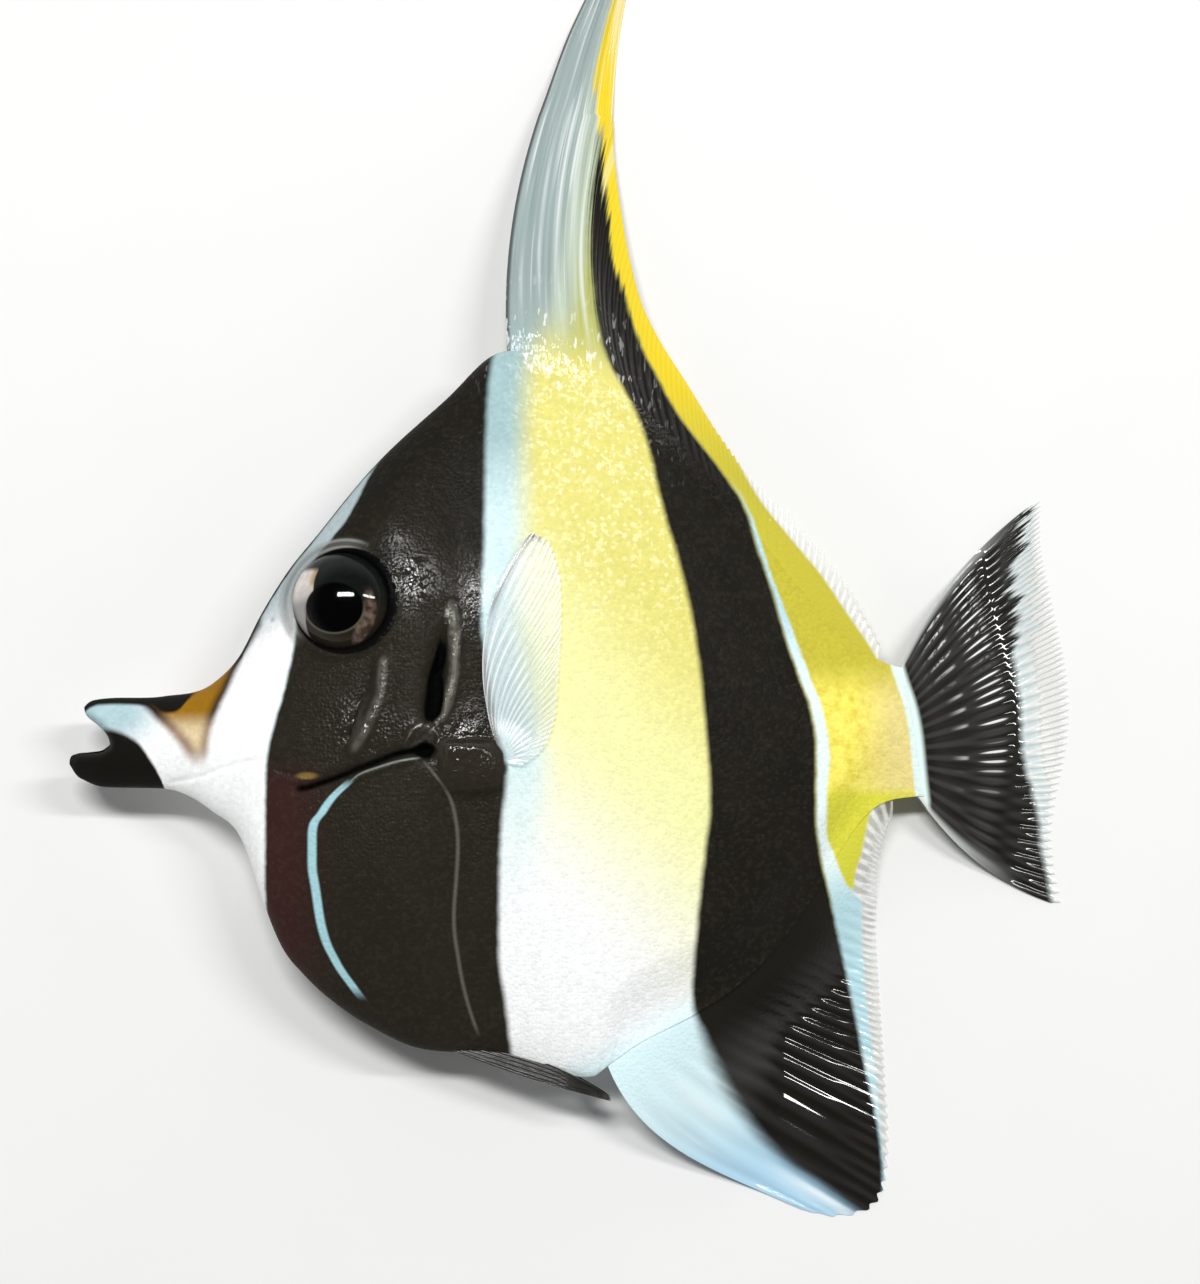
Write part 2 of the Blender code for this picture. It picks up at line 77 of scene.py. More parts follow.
def ease(t):
    t = np.clip(t, 0.0, 1.0)
    return t * t * (3.0 - 2.0 * t)


def bell(t):
    return np.exp(-t * t)


def curveAt(points, where, column=1):
    # smooth curve through points whose first number rises, with no overshoot between two of them
    xs = np.array([p[0] for p in points], float)
    ys = np.array([p[column] for p in points], float)
    slopes = np.gradient(ys, xs)
    runs = np.diff(ys) / np.diff(xs)
    limit = 3 * np.minimum(abs(runs[:-1]), abs(runs[1:])) * (runs[:-1] * runs[1:] > 0)
    slopes[1:-1] = np.clip(slopes[1:-1], -limit, limit)
    where = np.clip(np.asarray(where, float), xs[0], xs[-1])
    i = np.clip(np.searchsorted(xs, where) - 1, 0, len(xs) - 2)
    step = xs[i + 1] - xs[i]
    t = (where - xs[i]) / step
    start = (1 + 2 * t) * (1 - t) ** 2 * ys[i] + t * (1 - t) ** 2 * step * slopes[i]
    return start + t * t * (3 - 2 * t) * ys[i + 1] - t * t * (1 - t) * step * slopes[i + 1]


def routeAt(points, share):
    # place at a share of the way along a smooth curve through plan points
    hops = np.hypot(*np.diff(np.array(points, float), axis=0).T)
    far = np.concatenate([[0.0], np.cumsum(hops)]) / hops.sum()
    marks = [(f, *p) for f, p in zip(far, points)]
    return curveAt(marks, share, 1), curveAt(marks, share, 2)


# The body's outline seen from the flank, its half width, and how full each cross section is
body = {
    "backLine": [
        (0.0, 1.9), (1.0, 4.7), (2.4, 5.7), (8.0, 6.0), (12.4, 7.3), (14.5, 9.6), (16.2, 13.0), (18.3, 16.5),
        (21.2, 20.2), (25.5, 25.6), (31.9, 31.8), (36.1, 35.7), (37.2, 36.0), (41.7, 35.0), (46.9, 32.4),
        (52.1, 28.1), (57.3, 22.2), (62.6, 15.8), (67.0, 11.2), (70.8, 9.2), (73.0, 8.9),
    ],
    "bellyLine": [
        (0.0, 0.1), (0.6, -0.8), (1.4, -1.3), (3.0, -1.8), (8.0, -1.9), (12.1, -3.7), (15.0, -6.6),
        (16.7, -11.4), (18.2, -15.0), (20.5, -17.9), (23.3, -20.3), (26.7, -22.4), (29.6, -23.7),
        (36.9, -24.4), (42.3, -25.9), (44.6, -26.2), (46.4, -25.0), (48.3, -23.6), (53.4, -20.9),
        (57.0, -18.6), (60.4, -15.4), (63.5, -11.2), (66.0, -7.0), (68.4, -3.7), (72.7, -2.1), (75.0, -2.0),
    ],
    "halfWidth": [
        (0.0, 0.6), (0.7, 1.35), (2.0, 2.0), (4.0, 2.4), (8.0, 2.8), (12.0, 3.6), (16.0, 4.7), (20.0, 5.6),
        (25.0, 6.5), (28.5, 6.9), (31.0, 6.6), (33.0, 5.85), (36.0, 5.7), (42.0, 5.65), (48.0, 5.3),
        (55.0, 4.6), (62.0, 3.5), (67.0, 2.5), (70.0, 1.7), (72.0, 1.1), (74.0, 0.7),
    ],
    "fullness": [
        (0.0, 0.5), (10.0, 0.46), (20.0, 0.38), (27.0, 0.42), (36.0, 0.58), (56.0, 0.6), (68.0, 0.5),
    ],
    "middleHeight": 6.65, "tailHeight": 3.6, "tailSinks": (48.0, 72.0),
    "thinEdge": 0.3, "finEdge": 0.66, "backEdgeFrom": (33.0, 36.5), "bellyEdgeFrom": (43.0, 46.0),
    # the flank thins smoothly towards the roots of the dorsal and anal fins: (first x, last x, how wide)
    "backThins": (36.0, 71.5, 8.0), "bellyThins": (45.0, 73.0, 7.0), "thinsOver": 3.0,
    # the gape of the open mouth, from the lower jaw's tip round to the upper lip's
    "gape": [
        (0.0, 0.1), (0.05, 0.7), (0.6, 1.0), (1.8, 1.12), (3.0, 1.35), (3.45, 1.8), (3.3, 2.4), (2.5, 3.3),
        (1.5, 4.1), (1.2, 4.9),
    ],
    "lipRound": 0.9,
}


def middleAt(x):
    first, last = body["tailSinks"]
    sinks = body["middleHeight"] - body["tailHeight"]
    return body["middleHeight"] - sinks * ease((x - first) / (last - first))


def thicknessAt(x, y):
    high, low = curveAt(body["backLine"], x), curveAt(body["bellyLine"], x)
    across = np.minimum(abs(2 * y - high - low) / (high - low), 1.0)
    upper = 2 * y > high + low
    first = np.where(upper, body["backEdgeFrom"][0], body["bellyEdgeFrom"][0])
    last = np.where(upper, body["backEdgeFrom"][1], body["bellyEdgeFrom"][1])
    edge = body["thinEdge"] + (body["finEdge"] - body["thinEdge"]) * ease((x - first) / (last - first))
    half = (curveAt(body["halfWidth"], x) - edge) * (1 - across ** 2) ** curveAt(body["fullness"], x)
    for name, inside in (("backThins", high - y), ("bellyThins", y - low)):
        start, end, wide = body[name]
        finned = ease((x - start) / body["thinsOver"]) * ease((end - x) / body["thinsOver"])
        half = half * (1 - finned * (1 - ease((inside + 0.2) / wide)))
    return edge + half


def outlineAt(line, ends, share, out=0.0):
    # place at a share of the length of an outline between two x values, moved outwards by out
    xs = np.linspace(ends[0], ends[1], 200)
    far = np.concatenate([[0.0], np.cumsum(np.hypot(np.diff(xs), np.diff(curveAt(body[line], xs))))])
    x = np.interp(np.asarray(share, float) * far[-1], far, xs)
    slope = (curveAt(body[line], x + 0.1) - curveAt(body[line], x - 0.1)) / 0.2
    outward = 1.0 if line == "backLine" else -1.0
    size = np.hypot(slope, 1.0)
    return x - slope / size * outward * out, curveAt(body[line], x) + outward / size * out


eyePlace = nodePlace("eye_left")
eye = {
    "x": eyePlace[0], "y": eyePlace[1], "radius": 4.35, "depth": 2.55, "lean": 0.4, "leanOver": 1.5,
    "irisInset": 0.08, "dish": (0.7, 4.2, 2.2),   # how deep, from where and over how much
    "pupil": (-0.6, -0.55, 2.32, 2.0),   # its middle from the eye's, and its two radii
    # the silver crescent's inner edge, and both edges of the brown one, as (y, x)
    "silver": [
        (-3.8, -1.7), (-3.4, -2.15), (-2.7, -2.8), (-1.6, -3.0), (-0.45, -2.7), (0.5, -2.4), (1.6, -2.3),
        (2.6, -2.0),
    ],
    "brownInner": [
        (-3.8, 0.9), (-3.0, 0.95), (-2.3, 1.1), (-1.7, 1.5), (-0.7, 1.85), (0.5, 1.9), (1.5, 1.5),
    ],
    "brownOuter": [
        (-3.8, 1.2), (-3.0, 2.0), (-2.3, 2.45), (-1.7, 2.75), (-0.7, 2.9), (0.5, 2.65), (1.5, 2.1),
    ],
}

# Relief of the head: heights in millimetres, and lines as (y, x) or, where the note says so, (x, y)
relief = {
    "rim": {"radius": 4.62, "wide": 0.3, "high": 0.35},
    "rimOuter": {"radius": 5.25, "wide": 0.22, "high": 0.16},
    "socket": {"from": 4.25, "over": 1.1, "deep": 2.6},
    "brow": {"x": 25.0, "y": 20.0, "wide": 3.6, "high": 0.35},
    "nostril": {"x": 17.4, "y": 12.4, "wide": 0.25, "deep": 0.35},
    "slitFront": [
        (3.2, 30.6), (4.0, 30.3), (4.9, 30.2), (6.1, 30.35), (7.4, 30.5), (8.4, 30.8), (9.8, 31.2),
        (11.1, 31.6), (12.2, 31.9), (13.8, 32.1),
    ],
    "slitRear": [
        (3.2, 31.4), (4.0, 31.75), (4.9, 31.95), (6.4, 32.05), (7.8, 32.1), (9.1, 32.25), (10.5, 32.3),
        (12.2, 32.3), (13.8, 32.4),
    ],
    "slitDeep": 0.9,
    "cover": {"high": 0.45, "from": 26.0, "over": 4.5, "low": 0.5, "top": 15.0},
    "fold": {"wide": 0.42, "high": 0.5, "line": [
        (3.2, 31.7), (4.4, 32.1), (5.7, 32.5), (7.1, 32.85), (8.4, 33.0), (9.8, 33.0), (11.1, 32.95),
        (12.5, 32.75), (14.5, 32.5),
    ]},
    "foldRear": {"wide": 0.25, "high": -0.18, "line": [(4.8, 33.8), (7.3, 34.2), (9.3, 34.1), (11.0, 33.9)]},
    "cheekBone": {"wide": 0.5, "high": 0.3, "line": [
        (0.4, 24.3), (1.7, 24.9), (2.7, 25.5), (4.3, 26.2), (6.0, 26.8), (8.1, 27.0), (9.8, 27.1),
    ]},
    "cheekDip": {"wide": 0.22, "high": -0.3, "line": [
        (1.6, 24.0), (4.0, 24.7), (5.8, 25.3), (7.3, 25.9), (9.0, 26.3),
    ]},
    "earRidge": {"wide": 0.25, "high": 0.15, "line": [(10.0, 33.2), (11.4, 33.0), (13.5, 33.4)]},
    # the next four are (x, y)
    "groove": {"wide": 0.32, "high": -0.55, "line": [
        (19.3, -2.0), (20.9, -1.8), (21.8, -1.5), (23.5, -0.9), (25.2, -0.2), (26.8, 0.4), (28.3, 1.0),
        (29.2, 1.2), (31.5, 1.35),
    ]},
    "grooveLip": {"wide": 0.25, "high": 0.18, "line": [
        (22.6, -2.4), (24.3, -1.5), (25.2, -0.8), (26.8, -0.2), (28.5, 0.35), (30.0, 0.65),
    ]},
    "branch": {"wide": 0.18, "high": -0.15, "line": [(17.6, -0.3), (19.5, -0.75), (21.9, -1.0)]},
    "crease": {"wide": 0.25, "high": -0.14, "line": [
        (8.2, -1.5), (11.5, -0.9), (13.9, -0.1), (16.6, 0.4), (19.0, 0.2),
    ]},
    "pit": {"x": 30.7, "y": 1.3, "wide": 0.7, "deep": 0.9},
    "loop": {"x": 30.35, "y": 2.45, "radius": 0.95, "wide": 0.16, "high": 0.3},
    # wet patches that sparkle: (x, y, radius, how much)
    "wet": [
        (29.6, 15.8, 2.0, 1.0), (35.3, 14.5, 2.2, 0.6), (33.0, 12.3, 1.0, 0.8), (38.8, 37.8, 3.4, 1.0),
        (41.5, 34.5, 3.0, 0.7), (44.5, 37.0, 2.6, 0.6), (48.0, 33.5, 1.6, 0.5), (25.3, 3.2, 2.0, 0.8),
        (33.8, 2.0, 2.4, 1.0), (30.4, 2.5, 1.2, 1.0), (28.0, 19.5, 1.0, 0.4), (45.0, 28.0, 5.0, 0.35),
    ],
    "lobe": {"front": 31.2, "rear": 37.35, "low": -2.3, "high": 2.25, "rise": 1.25, "edge": 0.75},
}


def windowed(t, line, soft):
    return ease((t - line[0][0]) / soft) * ease((line[-1][0] - t) / soft)


def ridgeUp(part, x, y):
    # a ridge whose line gives x at each y
    return part["high"] * bell((x - curveAt(part["line"], y)) / part["wide"]) * windowed(y, part["line"], 1.2)


def ridgeAlong(part, x, y):
    # a ridge whose line gives y at each x
    return part["high"] * bell((y - curveAt(part["line"], x)) / part["wide"]) * windowed(x, part["line"], 0.9)


def lobeAt(x, y):
    # the fleshy base of the pectoral fin, 0 off it and 1 on its top
    part = relief["lobe"]
    middle, half = (part["low"] + part["high"]) / 2, (part["high"] - part["low"]) / 2
    away = half - np.hypot(x - np.clip(x, part["front"], part["rear"] - half), y - middle)
    lowFront = ease((middle - 0.5 - y) / 2.0) * ease((35.8 - x) / 2.0)
    domed = np.sqrt(np.clip(1 - (1 - np.clip(away / part["edge"], 0.0, 1.0)) ** 2, 0.0, 1.0))
    return domed * ease((x - part["front"]) / 2.0) * (1 - 0.6 * lowFront)


def wetAt(x, y):
    patches = (much * bell(np.hypot(x - px, y - py) / radius) for px, py, radius, much in relief["wet"])
    return np.minimum(sum(patches), 1.0)


def reliefAt(x, y):
    # rise of the skin over the plain flank, and what its material has to know of it
    away = np.hypot(x - eye["x"], y - eye["y"])
    rim, socket, brow = relief["rim"], relief["socket"], relief["brow"]
    rise = rim["high"] * bell((away - rim["radius"]) / rim["wide"])
    outer = relief["rimOuter"]
    upperFront = ease((0.6 * (y - eye["y"]) - (x - eye["x"])) / 3.0)
    rise += outer["high"] * bell((away - outer["radius"]) / outer["wide"]) * upperFront
    rise -= socket["deep"] * ease((socket["from"] - away) / socket["over"])
    rise += brow["high"] * bell(np.hypot(x - brow["x"], y - brow["y"]) / brow["wide"])
    # the gill cover rises to its rear edge, drops into the slit, and the shoulder's fold stands behind it
    front, rear = curveAt(relief["slitFront"], y), curveAt(relief["slitRear"], y)
    tall = windowed(y, relief["slitFront"], 1.2)
    cover = relief["cover"]
    tallCover = ease(y - cover["low"]) * ease((cover["top"] - y) / 3.0)
    alongCover = ease((x - cover["from"]) / cover["over"]) * ease((front + 0.2 - x) / 0.4)
    rise += cover["high"] * alongCover * tallCover
    slit = relief["slitDeep"] * tall * ease((x - front) / 0.7) * ease((rear - x) / 0.25)
    ridges = ridgeAlong(relief["grooveLip"], x, y)
    for name in ("fold", "cheekBone", "earRidge"):
        ridges = ridges + ridgeUp(relief[name], x, y)
    loop = relief["loop"]
    loopAway = np.hypot(x - loop["x"], y - loop["y"]) - loop["radius"]
    ridges = ridges + loop["high"] * bell(loopAway / loop["wide"]) * ease((y - loop["y"]) / 0.5 + 0.4)
    dips = ridgeUp(relief["foldRear"], x, y)
    for name in ("branch", "crease"):
        dips = dips + ridgeAlong(relief[name], x, y)
    hollow = slit - ridgeAlong(relief["groove"], x, y) - ridgeUp(relief["cheekDip"], x, y)
    for name in ("nostril", "pit"):
        part = relief[name]
        hollow = hollow + part["deep"] * bell(np.hypot(x - part["x"], y - part["y"]) / part["wide"])
    lobe = lobeAt(x, y)
    hollow, ridges, dips = (values * (1 - lobe) for values in (hollow, ridges, dips))
    shown = {"hollow": hollow, "ridges": ridges, "lobe": lobe, "wet": wetAt(x, y)}
    return rise + relief["lobe"]["rise"] * lobe + ridges + dips - hollow, shown


def deselectAll():
    for item in list(bpy.context.selected_objects):
        item.select_set(False)


def newPiece(name, add, **values):
    # what an operator adds, alone in the selection and named
    deselectAll()
    add(**values)
    piece = bpy.context.active_object
    piece.name = piece.data.name = name
    return piece


def placesOf(piece):
    places = np.empty(len(piece.data.vertices) * 3)
    piece.data.vertices.foreach_get("co", places)
    return places.reshape(-1, 3)


def putPlaces(piece, places):
    piece.data.vertices.foreach_set("co", places.ravel())
    piece.data.update()


def sheetPair(name, columns, rows, dropped=None):
    # a grid and its copy, joined at the rim: the object and each vertex's (across, along, side)
    counts = {"x_subdivisions": columns, "y_subdivisions": rows}
    piece = newPiece(name, bpy.ops.mesh.primitive_grid_add, size=1.0, **counts)
    if dropped:
        bpy.ops.object.mode_set(mode="EDIT")
        bpy.ops.mesh.select_all(action="DESELECT")
        bpy.ops.object.mode_set(mode="OBJECT")
        flat = placesOf(piece) + 0.5
        piece.data.vertices.foreach_set("select", dropped(flat[:, 0], flat[:, 1]))
        bpy.ops.object.mode_set(mode="EDIT")
        bpy.ops.mesh.delete(type="VERT")
        bpy.ops.object.mode_set(mode="OBJECT")
    bpy.ops.object.mode_set(mode="EDIT")
    bpy.ops.mesh.select_all(action="SELECT")
    bpy.ops.mesh.extrude_region_move(TRANSFORM_OT_translate={"value": (0.0, 0.0, -1.0)})
    bpy.ops.mesh.select_all(action="SELECT")
    bpy.ops.mesh.normals_make_consistent(inside=False)
    bpy.ops.object.mode_set(mode="OBJECT")
    places = placesOf(piece)
    return piece, places[:, 0] + 0.5, places[:, 1] + 0.5, np.where(places[:, 2] > -0.5, 1.0, -1.0)


def placeVertices(piece, x, y, z):
    putPlaces(piece, toRow(x, y, z))


def putUv(piece, across, along):
    corners = np.empty(len(piece.data.loops), np.int32)
    piece.data.loops.foreach_get("vertex_index", corners)
    layer = piece.data.uv_layers.get("rays") or piece.data.uv_layers.new(name="rays")
    layer.data.foreach_set("uv", np.stack([across[corners], along[corners]], axis=-1).ravel())


def putAttribute(piece, name, values):
    layer = piece.data.attributes.new(name, "FLOAT", "POINT")
    layer.data.foreach_set("value", np.asarray(values, np.float32))


def dress(piece, material, slotName, *nodes):
    piece.data.materials.clear()
    piece.data.materials.append(material)
    deselectAll()
    piece.select_set(True)
    bpy.context.view_layer.objects.active = piece
    bpy.ops.object.shade_smooth_by_angle(angle=math.radians(65))
    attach(piece, "root")
    if nodes:
        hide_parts(*nodes)
    print("built", piece.name, len(piece.data.polygons), "faces")


# Shader helpers. They add their nodes to the tree that was started last
drawn = {"tree": None}


def nodeOf(kind, feeds=None, **settings):
    made = drawn["tree"].nodes.new("ShaderNode" + kind)
    for key, value in settings.items():
        setattr(made, key, value)
    return feed(made, feeds)


def feed(made, feeds):
    for key, value in (feeds or {}).items():
        if isinstance(value, bpy.types.NodeSocket):
            drawn["tree"].links.new(value, made.inputs[key])
        else:
            made.inputs[key].default_value = value
    return made


def calc(operation, a, b=0.0, c=0.0):
    return nodeOf("Math", {0: a, 1: b, 2: c}, operation=operation).outputs[0]


def minus(a, b):
    return calc("SUBTRACT", a, b)


def scaled(value, by, plus):
    return calc("MULTIPLY_ADD", value, by, plus)


def larger(a, b):
    return calc("MAXIMUM", a, b)


def farOf(x, y):
    return calc("SQRT", calc("ADD", times(x, x), times(y, y)))


def step(value, low, high):
    # 0 below low and 1 above high, softly; low over high turns it round
    feeds = {"Value": value, "From Min": low, "From Max": high, "To Min": 0.0, "To Max": 1.0}
    return nodeOf("MapRange", feeds, interpolation_type="SMOOTHSTEP").outputs["Result"]


def times(*masks):
    # product of masks; each is a socket, a number, or the (value, low, high) of a step
    product, *others = [step(*mask) if isinstance(mask, tuple) else mask for mask in masks]
    for other in others:
        product = calc("MULTIPLY", product, other)
    return product


def mix(mask, a, b, blend="MIX"):
    # a colour that goes from a to b
    pair = [(*c, 1.0) if isinstance(c, tuple) and len(c) == 3 else c for c in (a, b)]
    feeds = {0: times(mask), 6: pair[0], 7: pair[1]}
    return nodeOf("Mix", feeds, data_type="RGBA", blend_type=blend).outputs[2]


def paint(colour, tone, *masks):
    # tone laid over colour where all the masks are 1
    return mix(times(*masks), colour, tone)


def tinted(colour, tone):
    return mix(1.0, colour, tone, "MULTIPLY")


def edgeOf(value, points):
    # smooth curve through (value, result) points
    starts, ends = [p[0] for p in points], [p[1] for p in points]
    low, high = min(ends), max(ends)
    span = {"Value": value, "From Min": starts[0], "From Max": starts[-1], "To Min": 0.0, "To Max": 1.0}
    share = nodeOf("MapRange", span).outputs["Result"]
    made = nodeOf("FloatCurve", {"Value": share})
    line = made.mapping.curves[0].points
    while len(line) < len(points):
        line.new(0.5, 0.5)
    for mark, (at, result) in zip(line, points):
        mark.location = ((at - starts[0]) / (starts[-1] - starts[0]), (result - low) / (high - low))
        mark.handle_type = "AUTO_CLAMPED"
    made.mapping.update()
    return scaled(made.outputs[0], high - low, low)


def pastLine(points, x, y):
    # how far x is past a line of (y, x) points; x and y change places for a line of (x, y) points
    return minus(x, edgeOf(y, points))


def lineMask(points, x, y, wide, soft):
    # 1 within wide of a line
    away = calc("ABSOLUTE", pastLine(points, x, y))
    first, last = points[0][0], points[-1][0]
    return times((away, wide + soft, wide - soft), (y, first, first + 1.5), (y, last, last - 1.0))


def noise(place, scale, detail=2.0):
    return nodeOf("TexNoise", {"Vector": place, "Scale": scale, "Detail": detail}).outputs[0]


def streaks(place, scale, detail=2.0):
    # noise with a scale of its own along each axis
    stretched = nodeOf("Mapping", {"Vector": place, "Scale": scale}).outputs[0]
    return noise(stretched, 1.0, detail)


def attributeOf(name):
    return nodeOf("Attribute", attribute_name=name).outputs["Fac"]


def rayPlace():
    # a fin's own place: the UV, its part across the rays and its part along them, and 1 on a ray's crest
    uv = nodeOf("UVMap", uv_map="rays").outputs[0]
    parts = nodeOf("SeparateXYZ", {0: uv}).outputs
    return uv, parts[0], parts[1], attributeOf("ridge")


def newGroup(name, inputs, outputs):
    group = drawn["tree"] = bpy.data.node_groups.new(name, "ShaderNodeTree")
    for label, kind, value in inputs:
        socket = group.interface.new_socket(label, in_out="INPUT", socket_type="NodeSocket" + kind)
        socket.default_value = value
    for label, kind in outputs:
        group.interface.new_socket(label, in_out="OUTPUT", socket_type="NodeSocket" + kind)
    return group, group.nodes.new("NodeGroupInput"), group.nodes.new("NodeGroupOutput")


def placeGroup(group, feeds=None):
    return nodeOf("Group", feeds, node_tree=group).outputs


def newMaterial(name, **values):
    made = bpy.data.materials.new(name)
    made.use_nodes = True
    drawn["tree"] = made.node_tree
    shader = made.node_tree.nodes["Principled BSDF"]
    for key, value in values.items():
        shader.inputs[key.replace("_", " ")].default_value = value
    return made, shader


def planPlaceGroup():
    # plan millimetres of the point that is shaded
    group, _, out = newGroup("planPlace", [], [("Place", "Vector"), ("X", "Float"), ("Y", "Float")])
    spot = nodeOf("TexCoord").outputs["Object"]
    feeds = {"Vector": spot, "Location": planShift, "Scale": (plan["perMetre"],) * 3}
    place = nodeOf("Mapping", feeds).outputs[0]
    parts = nodeOf("SeparateXYZ", {0: place}).outputs
    feed(out, {"Place": place, "X": parts["X"], "Y": parts["Y"]})
    return group


planPlace = planPlaceGroup()


def planSpot():
    # the plan place, and its x and y
    spot = placeGroup(planPlace)
    return spot["Place"], spot["X"], spot["Y"]


# The colours of the fish, and the lines that bound them as (y, x) points, or (x, y) where a note says so
marks = {
    "black": (0.008, 0.0075, 0.0055), "blackWarm": (0.024, 0.020, 0.014), "maroon": (0.040, 0.016, 0.014),
    "white": (0.94, 0.95, 0.95), "stripBlue": (0.36, 0.52, 0.54), "stripPale": (0.66, 0.84, 0.87),
    "yellowUp": (0.76, 0.70, 0.20), "yellowMid": (0.88, 0.88, 0.42), "khaki": (0.60, 0.60, 0.20),
    "finGrey": (0.33, 0.41, 0.40), "finGreen": (0.50, 0.58, 0.46), "finOlive": (0.46, 0.48, 0.14),
    "rearGold": (0.84, 0.64, 0.03), "rearOlive": (0.56, 0.50, 0.05), "stemYellow": (0.94, 0.84, 0.15),
    "stemTan": (0.78, 0.66, 0.25), "stemOlive": (0.78, 0.64, 0.07), "barBlue": (0.74, 0.88, 0.84),
    "analYellow": (0.68, 0.66, 0.06), "analBlue": (0.72, 0.92, 0.96),
    "analDeep": (0.44, 0.68, 0.84), "lineBlue": (0.50, 0.74, 0.80), "lineWhite": (0.80, 0.92, 0.90),
    "chestBlue": (0.38, 0.64, 0.69), "saddle": (0.30, 0.145, 0.008), "saddlePale": (0.74, 0.60, 0.36),
    "saddleBrown": (0.022, 0.012, 0.008), "snoutShade": (0.42, 0.50, 0.52), "lipBlue": (0.42, 0.58, 0.62),
    "gold": (0.22, 0.14, 0.04), "ridgePale": (0.105, 0.10, 0.085), "rimGrey": (0.13, 0.125, 0.12),
    "saddleFaint": (0.36, 0.25, 0.17), "groovePale": (0.32, 0.36, 0.32), "glint": (0.80, 0.86, 0.83),
    "frontBandFront": [
        (-26.0, 17.4), (-11.5, 17.1), (-4.8, 17.2), (-0.3, 17.2), (1.9, 17.5), (6.1, 18.6), (9.9, 19.4),
        (13.0, 19.7), (16.3, 20.4), (19.1, 22.2), (21.3, 23.8), (24.3, 25.2), (25.6, 25.8), (26.7, 26.4),
        (28.5, 27.2), (34.0, 29.0),
    ],
    "frontBandRear": [
        (-26.0, 38.2), (-22.7, 37.8), (-19.3, 37.4), (-14.3, 36.9), (-9.3, 36.9), (-4.3, 37.1), (-0.3, 37.4),
        (1.9, 36.9), (6.4, 36.1), (10.2, 35.5), (13.2, 35.2), (19.7, 35.4), (27.2, 35.4), (31.6, 35.5),
        (36.0, 36.0), (39.0, 36.5), (44.0, 36.6), (48.0, 36.4),
    ],
    "rearBandFront": [
        (-38.6, 68.5), (-35.7, 64.5), (-33.3, 61.1), (-29.8, 58.0), (-25.4, 55.4), (-22.1, 54.1),
        (-19.1, 53.3), (-13.0, 53.6), (-7.1, 54.2), (-2.8, 54.6), (3.4, 54.2), (11.0, 53.3), (16.7, 52.1),
        (22.6, 50.4), (28.0, 49.2), (32.1, 47.6), (35.5, 45.8), (38.1, 45.0), (42.0, 44.5), (46.3, 44.2),
        (50.7, 44.3), (54.0, 44.7), (58.0, 45.2),
    ],
    "rearBandRear": [
        (-38.6, 70.3), (-33.8, 70.2), (-31.4, 69.9), (-28.2, 69.3), (-25.6, 68.7), (-20.5, 67.7),
        (-16.2, 66.7), (-10.5, 65.2), (-7.0, 64.3), (-3.6, 63.8), (1.7, 63.8), (5.2, 63.3), (7.7, 62.4),
        (11.2, 61.2), (15.7, 60.0), (19.6, 58.7), (22.5, 57.9), (24.9, 56.5), (27.7, 54.4), (31.0, 51.9),
        (34.3, 50.1), (37.3, 48.6), (43.0, 46.8), (47.5, 45.9), (53.4, 45.4), (58.0, 44.8), (63.0, 43.9),
        (70.0, 43.9),
    ],
    "blueLineRear": [
        (-36.0, 70.9), (-31.7, 70.5), (-27.5, 70.0), (-21.2, 68.9), (-15.9, 68.5), (-11.1, 68.3),
        (-10.0, 67.0), (-7.2, 65.6), (-4.4, 64.8), (-1.8, 64.8), (0.8, 65.0), (4.6, 64.5), (7.4, 63.5),
        (11.3, 62.1), (17.0, 60.0), (23.4, 57.8), (26.0, 55.8),
    ],
    "barFront": [(-2.4, 72.7), (-0.9, 72.5), (4.3, 71.9), (8.7, 70.6), (9.4, 70.4)],
    "saddleFront": [(-0.5, 11.3), (0.2, 11.1), (2.1, 9.9), (4.1, 7.9), (5.2, 6.7), (5.9, 4.6), (7.5, 3.0)],
    "saddleRear": [
        (-0.5, 11.6), (0.2, 11.8), (3.2, 12.3), (7.0, 13.8), (9.0, 14.6), (10.8, 15.6), (12.0, 16.2),
    ],
    # the next four are (x, y), and topDark is (x, wide)
    "jawTop": [(0.0, 1.6), (2.6, 1.75), (3.1, 3.1), (5.5, 2.4), (7.1, 0.6), (7.9, -0.8), (8.3, -2.4)],
    "backTop": [(0.0, 3.4)] + body["backLine"][1:11],
    "loopGlint": [(28.8, 1.6), (29.3, 2.5), (29.9, 3.25), (30.5, 3.45), (31.1, 3.2), (31.9, 2.4)],
    "grooveLip": [(23.6, -1.9), (24.3, -1.4), (25.2, -0.7), (26.8, -0.1), (28.5, 0.4), (30.6, 0.75)],
    "topDark": [
        (0.0, 0.35), (2.0, 0.5), (7.0, 0.7), (9.0, 1.6), (11.0, 0.3), (14.0, 0.7), (17.0, 0.6), (21.0, 0.35),
        (28.0, 0.3),
    ],
    "chestLine": [
        (-19.8, 25.6), (-18.6, 24.7), (-16.2, 23.1), (-13.8, 22.1), (-10.3, 21.5), (-8.0, 21.2),
        (-5.9, 21.2), (-3.8, 22.1), (-1.0, 24.6),
    ],
    "throatLine": [
        (-23.0, 35.3), (-19.2, 34.1), (-16.2, 33.5), (-12.6, 33.1), (-9.1, 33.3), (-6.7, 33.4), (-3.9, 33.1),
        (-2.0, 32.4), (-0.9, 31.6), (0.7, 30.3),
    ],
}


